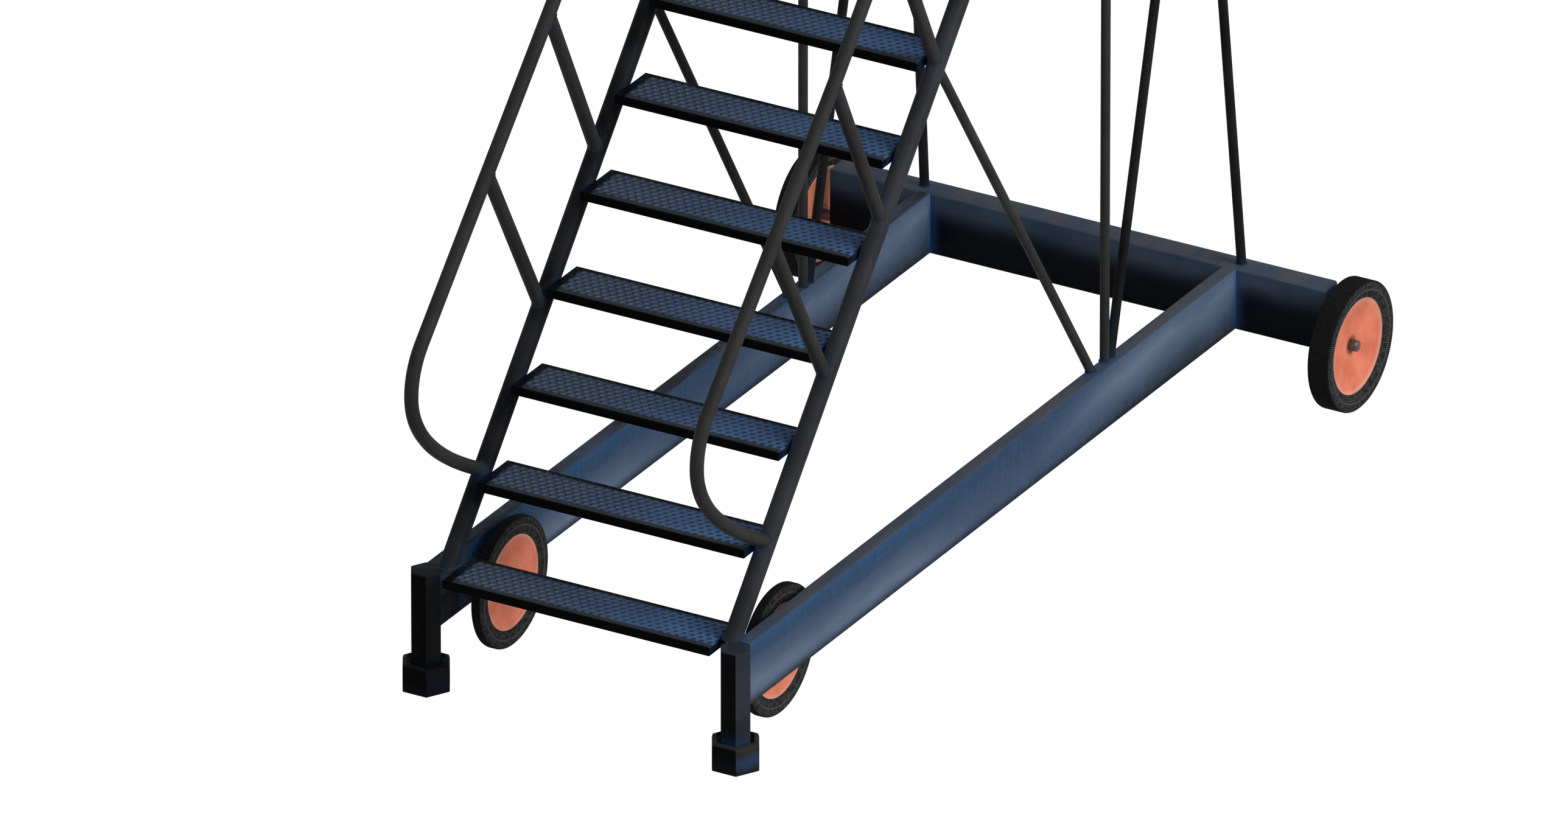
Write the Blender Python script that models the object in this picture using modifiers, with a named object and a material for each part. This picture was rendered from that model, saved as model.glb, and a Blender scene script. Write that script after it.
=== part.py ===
"""Library ladder: wheeled steps with nine dimpled treads, looped handrails and a guarded platform.

Metres, +Z up, the floor at Z = 0. The stair rises from the front (-Y) to the platform at the back.
Inside this script Y = 0 is the line through the two front legs; place_origin() then moves the
parent empty so that the finished ladder stands over the middle of its own footprint.
"""

import math

import bmesh
import bpy
from mathutils import Vector
from mathutils.geometry import interpolate_bezier

# --- Driving dimensions -------------------------------------------------------------------------

GAP = 0.0003            # clearance between touching pieces
SIDES = (("left", -1), ("right", 1))

# Base frame of box sections
BEAM_TOP = 0.380
BEAM_HEIGHT = 0.200
BEAM_WALL = 0.004
BEAM_CORNER = 0.008     # outer corner radius of the box sections
SIDE_BEAM_X = 0.5213
SIDE_BEAM_WIDTH = 0.050
REAR_BEAM_WIDTH = 0.085
REAR_BEAM_HALF = 0.845

# Wheels and axles
WHEEL_RADIUS = 0.202
AXLE_RADIUS = 0.017
BORE_REACH = 0.015      # how far a bore's cutter passes through the beam's inner wall
REAR_AXLE_Y = 2.980
REAR_AXLE_HALF = 0.9375
REAR_WHEEL_X = 0.9115
FRONT_AXLE_Y = 0.365
FRONT_WHEEL_X = 0.451
BUSH_WALL = 0.0027
WHEEL_STEPS = 36

# Front legs and feet: hexagons with two corners on the X axis, given by their side
LEG_SIDE = 0.050
LEG_BOTTOM = 0.045
FOOT_SIDE = 0.080
FOOT_EDGE = 0.0745          # top of the upright side
FOOT_FLOOR = 0.020
SHOULDER_SIDE = 0.077       # over the bevel
SHOULDER_TOP = 0.084
FOOT_RIM_SIDE = 0.063
FOOT_RIM_TOP = 0.090
RECESS_FLOOR = 0.083        # the step round the leg, inside the rim
NUT_PLATE_Z = 0.150
NUT_PLATE = 0.012
LEG_CHAMFER = 0.002
FOOT_CLEARANCE = 0.0005
SCREW_RADIUS = 0.0085
SCREW_TOP = 0.260
END_CHAMFER = 0.0015    # on the ends of screws and axles

# Stair: level 1 is the lowest tread, the platform is level 10
TREAD_COUNT = 9
FIRST_TREAD_Z = 0.378
FIRST_TREAD_FRONT = -0.0305
RISE = 0.230
GOING = 0.2025
TREAD_DEPTH = 0.180
TREAD_HALF = 0.4502
LIP_HEIGHT = 0.028
SHEET = 0.003
FOLD_RADIUS = 0.005
PLATFORM_REAR = 2.800
TOE_HEIGHT = 0.100

# Stringers and everything on their plane
STRINGER_X = 0.479
STRINGER_RADIUS = 0.0285
STRINGER_WALL = 0.003
STRINGER_POINT = (0.66704, 1.068)   # (Y, Z) on the axis
STRINGER_SLOPE = RISE / GOING
STRINGER_SPAN = (-0.02, 1.93)       # Y of the untrimmed ends, past the beam's top and the rail
ENVELOPE_SPAN = (-0.10, 2.10)
ENVELOPE_SIDES = 32

# Platform side rails: flat box sections on the stringers, posts and braces
RAIL_INNER = TREAD_HALF + 0.0004
RAIL_WIDTH = 0.080
RAIL_HEIGHT = 0.050
RAIL_WALL = 0.003
RAIL_CORNER = 0.006
RAIL_VENT_RADIUS = 0.006
RAIL_VENT_Y = 0.150         # behind the platform's front edge

# Struts from the base to the platform
STRUT_X = 0.5125
STRUT_RADIUS = 0.0146
STRUT_WALL = 0.0025
POST_Y = 2.2013
FRONT_BRACE_Y = 2.1196
FRONT_BRACE_END = (1.2512, 1.7316)  # (Y, Z) where its axis meets the stringer's axis
REAR_BRACE_Y = 2.2341
REAR_BRACE_LEAN = 0.250             # metres back for each metre up
REAR_POST_X = 0.5411
REAR_POST_LEAN = (-0.01953, -0.10345)   # (X, Y) for each metre up
OVERRUN = 0.050                     # how far a tube is drawn past the faces that then trim it

# Handrails, stanchions and guard rails
HANDRAIL_RADIUS = 0.0212
HANDRAIL_WALL = 0.0026
STANCHION_RADIUS = 0.0208
GUARD_HEIGHT = 1.000
GUARD_DROP = 0.150      # of the rear guard rail below the handrails, under their bend
GUARD_REAR_Y = 2.750
KNEE_HEIGHT = 0.500
KNEE_RADIUS = 0.01345
STANCHION_FEET = (0.5993, 0.9257, 1.2521, 1.5785)   # Y of each foot on the stringer's axis
STANCHION_LEANS = ((-0.3086, 0.5583), (-0.2752, 0.5538), (-0.2752, 0.5538), (-0.2752, 0.5538))

TUBE_SIDES = 16         # of the slim tubes
ROUND_SIDES = 24        # of stringers, axles, bushes and their bores
SCREW_SIDES = 16
HEXAGON = 6
FLAT_SHARE = math.cos(math.radians(30.0))   # a hexagon's flat, as a share of its side

PLATFORM_TOP = FIRST_TREAD_Z + TREAD_COUNT * RISE
PLATFORM_FRONT = FIRST_TREAD_FRONT + TREAD_COUNT * GOING
RAIL_BOTTOM = PLATFORM_TOP - RAIL_HEIGHT

# --- Scene, materials and small helpers ----------------------------------------------------------

for old in list(bpy.data.objects):
    bpy.data.objects.remove(old, do_unlink=True)


def collection(name):
    group = bpy.data.collections.new(name)
    bpy.context.scene.collection.children.link(group)
    return group


PARTS = collection("library_ladder")
CUTTERS = collection("cutters")


def empty(name, location, parent=None):
    anchor = bpy.data.objects.new(name, None)
    anchor.empty_display_size = 0.1
    anchor.location = location
    anchor.parent = parent
    PARTS.objects.link(anchor)
    return anchor


ROOT = empty("ladder_frame", (0.0, 0.0, 0.0))


def material(name, colour, roughness, metallic):
    made = bpy.data.materials.new(name)
    made.use_nodes = True
    shader = made.node_tree.nodes["Principled BSDF"]
    shader.inputs["Base Color"].default_value = (*colour, 1.0)
    shader.inputs["Roughness"].default_value = roughness
    shader.inputs["Metallic"].default_value = metallic
    return made


FRAME_PAINT = material("frame_paint", (0.012, 0.022, 0.045), 0.45, 0.3)
TUBE_PAINT = material("tube_paint", (0.014, 0.016, 0.020), 0.50, 0.3)
TREAD_PAINT = material("tread_paint", (0.015, 0.030, 0.065), 0.50, 0.3)
RUBBER = material("tyre_rubber", (0.020, 0.020, 0.020), 0.85, 0.0)
DISC_PLASTIC = material("wheel_disc_plastic", (0.780, 0.230, 0.130), 0.45, 0.0)
BARE_STEEL = material("bare_steel", (0.200, 0.200, 0.210), 0.35, 1.0)
BRONZE = material("bush_bronze", (0.350, 0.220, 0.110), 0.40, 1.0)


def add_object(name, mesh, skin, location=(0.0, 0.0, 0.0), parent=ROOT):
    made = bpy.data.objects.new(name, mesh)
    made.location = location
    made.parent = parent
    PARTS.objects.link(made)
    mesh.materials.append(skin)
    return made


def mesh_from(bm, name):
    mesh = bpy.data.meshes.new(name)
    bm.to_mesh(mesh)
    bm.free()
    return mesh


def make_cutter(name, mesh):
    cutter = bpy.data.objects.new(name, mesh)
    cutter.parent = ROOT
    cutter.hide_render = True
    cutter.display_type = "WIRE"
    CUTTERS.objects.link(cutter)
    return cutter


def cut(target, *cutters):
    for cutter in cutters:
        boolean = target.modifiers.new("cut_" + cutter.name, "BOOLEAN")
        boolean.operation = "DIFFERENCE"
        boolean.object = cutter


def bevel(target, width, segments=3):
    rounding = target.modifiers.new("rounded_edges", "BEVEL")
    rounding.width = width
    rounding.segments = segments
    rounding.limit_method = "ANGLE"


def thicken(target, thickness):
    """Give an open surface its wall, on the inside of the outward faces."""
    wall = target.modifiers.new("wall", "SOLIDIFY")
    wall.thickness = thickness
    wall.offset = -1.0
    wall.use_even_offset = True


def smooth(target):
    target.data.shade_smooth()
    target.data.set_sharp_from_angle(angle=math.radians(35.0))


def box_mesh(name, size, centre, open_axis=None):
    """A cuboid; open_axis (0, 1 or 2) leaves off the two faces across that axis."""
    bm = bmesh.new()
    bmesh.ops.create_cube(bm, size=1.0)
    bmesh.ops.scale(bm, vec=size, verts=bm.verts)
    bmesh.ops.translate(bm, vec=centre, verts=bm.verts)
    if open_axis is not None:
        ends = [face for face in bm.faces if abs(face.normal[open_axis]) > 0.5]
        bmesh.ops.delete(bm, geom=ends, context="FACES_ONLY")
    return mesh_from(bm, name)


def cylinder_mesh(name, start, end, radius, sides=TUBE_SIDES, capped=True):
    """A cylinder between two points."""
    start, end = Vector(start), Vector(end)
    axis = end - start
    bm = bmesh.new()
    bmesh.ops.create_cone(bm, cap_ends=capped, segments=sides, radius1=radius, radius2=radius,
                          depth=axis.length)
    bmesh.ops.rotate(bm, matrix=axis.to_track_quat("Z", "Y").to_matrix(), verts=bm.verts)
    bmesh.ops.translate(bm, vec=(start + end) / 2, verts=bm.verts)
    return mesh_from(bm, name)


def straight_tube(name, start, end, radius, wall, cutters=(), sides=TUBE_SIDES):
    """A hollow tube between two points, its ends then shaped by the cutters."""
    tube = add_object(name, cylinder_mesh(name, start, end, radius, sides, capped=False), TUBE_PAINT)
    thicken(tube, wall)
    cut(tube, *cutters)
    smooth(tube)
    return tube


def turned(name, profile, skin, closed, steps, parent, location=(0.0, 0.0, 0.0)):
    """A profile of (radius, height) points, outer side downwards, turned about Z."""
    bm = bmesh.new()
    points = [bm.verts.new((radius, 0.0, height)) for radius, height in profile]
    for first, second in zip(points, points[1:]):
        bm.edges.new((first, second))
    if closed:
        bm.edges.new((points[-1], points[0]))
    piece = add_object(name, mesh_from(bm, name), skin, location, parent)
    screw = piece.modifiers.new("turned", "SCREW")
    screw.axis = "Z"
    screw.angle = math.tau
    screw.steps = steps
    screw.render_steps = steps
    screw.use_merge_vertices = True
    screw.merge_threshold = 0.00001
    screw.use_smooth_shade = steps > 6
    return piece


# --- Shared cutters ------------------------------------------------------------------------------

SLAB = (4.0, 8.0, 1.0)      # wider and longer than the ladder
SLAB_Y = 1.5

BELOW_BEAM_TOP = make_cutter("below_beam_top", box_mesh(
    "below_beam_top", SLAB, (0.0, SLAB_Y, BEAM_TOP + GAP - SLAB[2] / 2)))
ABOVE_RAIL_BOTTOM = make_cutter("above_rail_bottom", box_mesh(
    "above_rail_bottom", SLAB, (0.0, SLAB_Y, RAIL_BOTTOM - GAP + SLAB[2] / 2)))


def stringer_point(side, y):
    """The point of a stringer's axis at the given Y."""
    point_y, point_z = STRINGER_POINT
    return Vector((side * STRINGER_X, y, point_z + STRINGER_SLOPE * (y - point_y)))


STRINGER_CUTTERS = {
    side: make_cutter(f"stringer_{word}_envelope", cylinder_mesh(
        f"stringer_{word}_envelope", *(stringer_point(side, y) for y in ENVELOPE_SPAN),
        STRINGER_RADIUS + GAP, ENVELOPE_SIDES))
    for word, side in SIDES
}

# --- Handrail path -------------------------------------------------------------------------------

LOWER_LOOP_STEPS = 7
UPPER_LOOP_STEPS = 4
BEND_RADIUS = 0.120
FRONT_BEND_STEPS = 4
REAR_BEND_STEPS = 7
HANDRAIL_FOOT = (0.26071, 0.60402)
LOWER_LOOP_HANDLES = ((0.06430, 0.71045), (-0.15089, 0.85580))
LOOP_FRONT = (-0.15089, 1.00938)
UPPER_LOOP_HANDLES = ((-0.15089, 1.06650), (-0.12916, 1.11850))
LOOP_TOP = (-0.08929, 1.15938)
HANDRAIL_KNEE = (0.66875, 1.93652)      # where the slope changes a little, at the second stanchion
LOWER_SLOPE = 1.0256
UPPER_SLOPE = 1.104


def flat_bezier(start, handle_a, handle_b, end, steps):
    """Points of a Bezier stretch in the (Y, Z) plane, without its last point."""
    corners = [Vector((y, z, 0.0)) for y, z in (start, handle_a, handle_b, end)]
    return [(point.x, point.y) for point in interpolate_bezier(*corners, steps + 1)[:-1]]


def rounded_corner(before, corner, after, radius, steps):
    """Points of the arc that rounds a corner in the (Y, Z) plane."""
    before, corner, after = Vector(before), Vector(corner), Vector(after)
    to_before = (before - corner).normalized()
    to_after = (after - corner).normalized()
    half_angle = to_before.angle(to_after) / 2
    centre = corner + (to_before + to_after).normalized() * (radius / math.sin(half_angle))
    start = corner + to_before * (radius / math.tan(half_angle)) - centre
    end = corner + to_after * (radius / math.tan(half_angle)) - centre
    turn = start.angle_signed(end)
    points = []
    for step in range(steps + 1):
        # angle_signed counts clockwise turns as positive
        angle = -turn * step / steps
        cos, sin = math.cos(angle), math.sin(angle)
        points.append((centre.x + start.x * cos - start.y * sin,
                       centre.y + start.x * sin + start.y * cos))
    return points


def handrail_path():
    """(Y, Z) points from the coped foot, round the loop, up the stair and down behind the platform."""
    guard_z = PLATFORM_TOP + GUARD_HEIGHT
    top_front = (HANDRAIL_KNEE[0] + (guard_z - HANDRAIL_KNEE[1]) / UPPER_SLOPE, guard_z)
    top_rear = (GUARD_REAR_Y, guard_z)
    rear_foot = (GUARD_REAR_Y, PLATFORM_TOP + GAP)
    path = flat_bezier(HANDRAIL_FOOT, *LOWER_LOOP_HANDLES, LOOP_FRONT, LOWER_LOOP_STEPS)
    path += flat_bezier(LOOP_FRONT, *UPPER_LOOP_HANDLES, LOOP_TOP, UPPER_LOOP_STEPS)
    path += [LOOP_TOP, HANDRAIL_KNEE]
    path += rounded_corner(HANDRAIL_KNEE, top_front, top_rear, BEND_RADIUS, FRONT_BEND_STEPS)
    path += rounded_corner(top_front, top_rear, rear_foot, BEND_RADIUS, REAR_BEND_STEPS)
    path += [rear_foot]
    return path


def bent_tube_mesh(name, side, radius, capped):
    """The handrail's path as a tube of the given radius, turned from a curve into a mesh."""
    curve = bpy.data.curves.new(name + "_curve", "CURVE")
    curve.dimensions = "3D"
    curve.bevel_depth = radius
    curve.bevel_resolution = 3
    curve.use_fill_caps = capped
    path = handrail_path()
    spline = curve.splines.new("POLY")
    spline.points.add(len(path) - 1)
    for point, (y, z) in zip(spline.points, path):
        point.co = (side * STRINGER_X, y, z, 1.0)
    guide = bpy.data.objects.new(name + "_curve", curve)
    bpy.context.scene.collection.objects.link(guide)
    depsgraph = bpy.context.evaluated_depsgraph_get()
    mesh = bpy.data.meshes.new_from_object(guide.evaluated_get(depsgraph))
    mesh.name = name
    bpy.data.objects.remove(guide, do_unlink=True)
    bm = bmesh.new()
    bm.from_mesh(mesh)
    bmesh.ops.remove_doubles(bm, verts=bm.verts, dist=0.00001)
    bmesh.ops.recalc_face_normals(bm, faces=bm.faces)
    bm.to_mesh(mesh)
    bm.free()
    mesh.materials.clear()
    return mesh


HANDRAIL_CUTTERS = {
    side: make_cutter(f"handrail_{word}_envelope", bent_tube_mesh(
        f"handrail_{word}_envelope", side, HANDRAIL_RADIUS + GAP, capped=True))
    for word, side in SIDES
}

# --- Base frame ----------------------------------------------------------------------------------


def side_beam(word, side):
    """A box section from the leg's back flat to the rear beam, bored for the front axle stub."""
    front = LEG_SIDE * FLAT_SHARE + GAP
    rear = REAR_AXLE_Y - REAR_BEAM_WIDTH / 2 - GAP
    size = (SIDE_BEAM_WIDTH, rear - front, BEAM_HEIGHT)
    centre = (side * SIDE_BEAM_X, (front + rear) / 2, BEAM_TOP - BEAM_HEIGHT / 2)
    beam = add_object(f"side_beam_{word}", box_mesh("side_beam", size, centre, open_axis=1),
                      FRAME_PAINT)
    bevel(beam, BEAM_CORNER)
    thicken(beam, BEAM_WALL)
    inner_face = SIDE_BEAM_X - SIDE_BEAM_WIDTH / 2
    bore_ends = [(side * (inner_face + reach), FRONT_AXLE_Y, WHEEL_RADIUS)
                 for reach in (-BORE_REACH, BORE_REACH)]
    bore = make_cutter(f"front_axle_bore_{word}", cylinder_mesh(
        "front_axle_bore", *bore_ends, AXLE_RADIUS + GAP, ROUND_SIDES))
    cut(beam, bore)


def rear_beam():
    """The cross beam, with end plates bored for the through axle."""
    size = (2 * REAR_BEAM_HALF, REAR_BEAM_WIDTH, BEAM_HEIGHT)
    centre = (0.0, REAR_AXLE_Y, BEAM_TOP - BEAM_HEIGHT / 2)
    beam = add_object("rear_beam", box_mesh("rear_beam", size, centre), FRAME_PAINT)
    bevel(beam, BEAM_CORNER)
    hollow = tuple(length - 2 * BEAM_WALL for length in size)
    cut(beam,
        make_cutter("rear_beam_hollow", box_mesh("rear_beam_hollow", hollow, centre)),
        make_cutter("rear_axle_bore", cylinder_mesh(
            "rear_axle_bore", (-REAR_AXLE_HALF, REAR_AXLE_Y, WHEEL_RADIUS),
            (REAR_AXLE_HALF, REAR_AXLE_Y, WHEEL_RADIUS), AXLE_RADIUS + GAP, ROUND_SIDES)))


def front_leg(word, side):
    """A hexagonal tube, closed on top, with a nut plate inside for the jacking screw."""
    inner = LEG_SIDE - BEAM_WALL / FLAT_SHARE
    nut = SCREW_RADIUS * 1.2
    nut_top = NUT_PLATE_Z + NUT_PLATE
    profile = [
        (0.0, BEAM_TOP), (LEG_SIDE - LEG_CHAMFER, BEAM_TOP), (LEG_SIDE, BEAM_TOP - LEG_CHAMFER),
        (LEG_SIDE, LEG_BOTTOM), (inner, LEG_BOTTOM),
        (inner, NUT_PLATE_Z), (nut, NUT_PLATE_Z), (nut, nut_top), (inner, nut_top),
        (inner, BEAM_TOP - BEAM_WALL), (0.0, BEAM_TOP - BEAM_WALL),
    ]
    turned(f"front_leg_{word}", profile, FRAME_PAINT, closed=False, steps=HEXAGON, parent=ROOT,
           location=(side * SIDE_BEAM_X, 0.0, 0.0))


def foot(word, side):
    """A hexagonal cup on the leg, with a bevel and a raised rim, and its jacking screw."""
    slide = empty(f"foot_slide_{word}", (side * SIDE_BEAM_X, 0.0, 0.0), ROOT)
    bore = LEG_SIDE + FOOT_CLEARANCE
    profile = [
        (0.0, FOOT_FLOOR), (bore, FOOT_FLOOR), (bore, RECESS_FLOOR), (FOOT_RIM_SIDE, RECESS_FLOOR),
        (FOOT_RIM_SIDE, FOOT_RIM_TOP), (SHOULDER_SIDE, SHOULDER_TOP), (FOOT_SIDE, FOOT_EDGE),
        (FOOT_SIDE, 0.0), (0.0, 0.0),
    ]
    turned(f"foot_{word}", profile, FRAME_PAINT, closed=False, steps=HEXAGON, parent=slide)
    rod = [
        (0.0, SCREW_TOP), (SCREW_RADIUS - END_CHAMFER, SCREW_TOP),
        (SCREW_RADIUS, SCREW_TOP - END_CHAMFER), (SCREW_RADIUS, FOOT_FLOOR + GAP),
        (0.0, FOOT_FLOOR + GAP),
    ]
    turned(f"foot_screw_{word}", rod, BARE_STEEL, closed=False, steps=SCREW_SIDES, parent=slide)


# --- Wheels --------------------------------------------------------------------------------------

# half width, bead lip, radius of the disc's edge, then heights of the disc's edge and of the centre
# of its outer and inner faces, all from the wheel's middle plane
REAR_SIZES = dict(half_width=0.0325, lip=0.0365, edge_radius=0.1490, disc_edge=0.0255,
                  outer_centre=0.0015, inner_centre=0.0215)
FRONT_SIZES = dict(half_width=0.0150, lip=0.0170, edge_radius=0.1465, disc_edge=0.0120,
                   outer_centre=0.0080, inner_centre=0.0080)
LIP_RADIUS = 0.1750      # the ring where the sidewall stands proudest
SHOULDER = 0.003         # chamfer between the sidewall and the tread
AXLE_CLEARANCE = 0.004   # from the front wheel's outer face to the stub's free end
BUSH_INNER = AXLE_RADIUS + GAP
BUSH_OUTER = BUSH_INNER + BUSH_WALL
DISH_STEPS = 3


def dished_face(edge_radius, edge, centre):
    """(radius, height) points from the hub bore out to the disc's edge."""
    bore = BUSH_OUTER + GAP
    radii = [bore + (edge_radius - bore) * step / DISH_STEPS for step in range(DISH_STEPS + 1)]
    return [(radius, centre + (edge - centre) * (radius / edge_radius) ** 2) for radius in radii]


def wheel(word, side, x, y, half_width, lip, edge_radius, disc_edge, outer_centre, inner_centre):
    """A rubber tyre on a disc dished on both faces, with a bush, turning about the X axis."""
    axis = empty(f"wheel_axis_{word}", (side * x, y, WHEEL_RADIUS), ROOT)
    axis.rotation_euler = (0.0, side * math.pi / 2, 0.0)
    tyre_half = [
        (edge_radius + GAP, disc_edge), (LIP_RADIUS, lip),
        (WHEEL_RADIUS - SHOULDER, half_width), (WHEEL_RADIUS, half_width - SHOULDER),
    ]
    tyre_mirror = [(radius, -height) for radius, height in reversed(tyre_half)]
    turned(f"tyre_{word}", tyre_half + tyre_mirror, RUBBER, True, WHEEL_STEPS, axis)
    outer_face = dished_face(edge_radius, disc_edge, outer_centre)
    inner_face = dished_face(edge_radius, disc_edge, inner_centre)
    inner_face = [(radius, -height) for radius, height in reversed(inner_face)]
    turned(f"wheel_disc_{word}", outer_face + inner_face, DISC_PLASTIC, True, WHEEL_STEPS, axis)
    bush = [(BUSH_INNER, outer_centre), (BUSH_OUTER, outer_centre),
            (BUSH_OUTER, -inner_centre), (BUSH_INNER, -inner_centre)]
    turned(f"wheel_bush_{word}", bush, BRONZE, True, ROUND_SIDES, axis)


def axle(name, location, top, bottom):
    """A plain round axle along X with chamfered ends, between two heights along its own axis."""
    profile = [
        (0.0, top), (AXLE_RADIUS - END_CHAMFER, top), (AXLE_RADIUS, top - END_CHAMFER),
        (AXLE_RADIUS, bottom + END_CHAMFER), (AXLE_RADIUS - END_CHAMFER, bottom), (0.0, bottom),
    ]
    rod = turned(name, profile, BARE_STEEL, False, ROUND_SIDES, ROOT, location)
    rod.rotation_euler = (0.0, math.pi / 2, 0.0)


def front_axle(word, side):
    """A stub from the wheel's inner face through the beam's inner wall, short of its outer corner."""
    free_end = FRONT_WHEEL_X - FRONT_SIZES["disc_edge"] - AXLE_CLEARANCE
    fixed_end = SIDE_BEAM_X + SIDE_BEAM_WIDTH / 2 - BEAM_CORNER - 0.001
    ends = sorted((side * free_end, side * fixed_end))
    axle(f"front_axle_{word}", (0.0, FRONT_AXLE_Y, WHEEL_RADIUS), ends[1], ends[0])


# --- Stair and platform --------------------------------------------------------------------------


def stringer(word, side):
    straight_tube(f"stringer_{word}", *(stringer_point(side, y) for y in STRINGER_SPAN),
                  STRINGER_RADIUS, STRINGER_WALL, (BELOW_BEAM_TOP, ABOVE_RAIL_BOTTOM), ROUND_SIDES)


def tread(level):
    """A sheet folded down on all four sides, open underneath."""
    top = FIRST_TREAD_Z + (level - 1) * RISE
    front = FIRST_TREAD_FRONT + (level - 1) * GOING
    size = (2 * TREAD_HALF, TREAD_DEPTH, LIP_HEIGHT)
    centre = (0.0, front + TREAD_DEPTH / 2, top - LIP_HEIGHT / 2)
    bm = bmesh.new()
    bm.from_mesh(box_mesh("tread_box", size, centre))
    bmesh.ops.delete(bm, geom=[face for face in bm.faces if face.normal.z < -0.5],
                     context="FACES_ONLY")
    pan = add_object(f"tread_{level}", mesh_from(bm, "tread"), TREAD_PAINT)
    bevel(pan, FOLD_RADIUS, 2)
    thicken(pan, SHEET)
    smooth(pan)


def platform_deck():
    """A tray: the sheet is folded up at the sides and the back as a toe board, down at the nose."""
    front = PLATFORM_FRONT + SHEET
    length = PLATFORM_REAR - front
    size = (2 * TREAD_HALF, length, TOE_HEIGHT + SHEET)
    centre = (0.0, front + length / 2, PLATFORM_TOP - SHEET + size[2] / 2)
    bm = bmesh.new()
    bm.from_mesh(box_mesh("deck_box", size, centre))
    open_faces = [face for face in bm.faces if face.normal.z > 0.5 or face.normal.y < -0.5]
    bmesh.ops.delete(bm, geom=open_faces, context="FACES_ONLY")
    nose = [edge for edge in bm.edges if edge.is_boundary
            and all(vert.co.y < front + GAP and vert.co.z < PLATFORM_TOP for vert in edge.verts)]
    lip = bmesh.ops.extrude_edge_only(bm, edges=nose)["geom"]
    lip_verts = [item for item in lip if isinstance(item, bmesh.types.BMVert)]
    bmesh.ops.translate(bm, vec=(0.0, 0.0, SHEET - LIP_HEIGHT), verts=lip_verts)
    deck = add_object("platform_deck", mesh_from(bm, "platform_deck"), TREAD_PAINT)
    thicken(deck, SHEET)


def platform_rail(word, side):
    """A flat box section with closed ends and a vent hole underneath."""
    size = (RAIL_WIDTH, PLATFORM_REAR - PLATFORM_FRONT, RAIL_HEIGHT)
    centre = (side * (RAIL_INNER + RAIL_WIDTH / 2), (PLATFORM_REAR + PLATFORM_FRONT) / 2,
              PLATFORM_TOP - RAIL_HEIGHT / 2)
    rail = add_object(f"platform_rail_{word}", box_mesh("platform_rail", size, centre), FRAME_PAINT)
    bevel(rail, RAIL_CORNER, 2)
    hollow = tuple(length - 2 * RAIL_WALL for length in size)
    vent_ends = [(centre[0], PLATFORM_FRONT + RAIL_VENT_Y, RAIL_BOTTOM + reach)
                 for reach in (-2 * RAIL_WALL, 2 * RAIL_WALL)]
    cut(rail,
        make_cutter(f"rail_hollow_{word}", box_mesh("rail_hollow", hollow, centre)),
        make_cutter(f"rail_vent_{word}", cylinder_mesh("rail_vent", *vent_ends, RAIL_VENT_RADIUS)))


# --- Struts --------------------------------------------------------------------------------------


def meeting_point(point, direction, line_point, slope):
    """Where a ray in the (Y, Z) plane crosses the line with the given point and slope."""
    y, z = point
    step_y, step_z = direction
    line_y, line_z = line_point
    reach = (line_z - z + slope * (y - line_y)) / (step_z - slope * step_y)
    return y + reach * step_y, z + reach * step_z


def leaning_strut(name, x, y, lean_x, lean_y):
    """A tube from the beam's top up to the underside of the platform rail."""
    below, above = BEAM_TOP - OVERRUN, RAIL_BOTTOM + OVERRUN
    ends = [(x + lean_x * (z - BEAM_TOP), y + lean_y * (z - BEAM_TOP), z) for z in (below, above)]
    straight_tube(name, *ends, STRUT_RADIUS, STRUT_WALL, (BELOW_BEAM_TOP, ABOVE_RAIL_BOTTOM))


def front_brace(word, side):
    """A tube from the beam's top forward to the stringer, leaning in to the stringer's plane."""
    foot = Vector((side * STRUT_X, FRONT_BRACE_Y, BEAM_TOP))
    end = Vector((side * STRINGER_X, *FRONT_BRACE_END))
    start = foot + (foot - end).normalized() * OVERRUN
    straight_tube(f"front_brace_{word}", start, end, STRUT_RADIUS, STRUT_WALL,
                  (BELOW_BEAM_TOP, STRINGER_CUTTERS[side]))


def struts(word, side):
    leaning_strut(f"upright_post_{word}", side * STRUT_X, POST_Y, 0.0, 0.0)
    leaning_strut(f"rear_brace_{word}", side * STRUT_X, REAR_BRACE_Y, 0.0, REAR_BRACE_LEAN)
    lean_x, lean_y = REAR_POST_LEAN
    leaning_strut(f"rear_post_{word}", side * REAR_POST_X, REAR_AXLE_Y, side * lean_x, lean_y)


# --- Handrails and guard rails -------------------------------------------------------------------


def handrail(word, side):
    """One bent tube, coped on the stringer at the bottom, standing on the platform rail."""
    rail = add_object(f"handrail_{word}",
                      bent_tube_mesh(f"handrail_{word}", side, HANDRAIL_RADIUS, capped=False),
                      TUBE_PAINT)
    thicken(rail, HANDRAIL_WALL)
    cut(rail, STRINGER_CUTTERS[side])
    smooth(rail)


def stanchions(word, side):
    """Slanted tubes from the stringer up to the handrail, coped at both ends."""
    for number, (foot_y, lean) in enumerate(zip(STANCHION_FEET, STANCHION_LEANS), 1):
        start = stringer_point(side, foot_y)
        slope = LOWER_SLOPE if number == 1 else UPPER_SLOPE
        end_y, end_z = meeting_point((start.y, start.z), lean, HANDRAIL_KNEE, slope)
        straight_tube(f"stanchion_{word}_{number}", start, (start.x, end_y, end_z),
                      STANCHION_RADIUS, HANDRAIL_WALL,
                      (STRINGER_CUTTERS[side], HANDRAIL_CUTTERS[side]))


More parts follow.
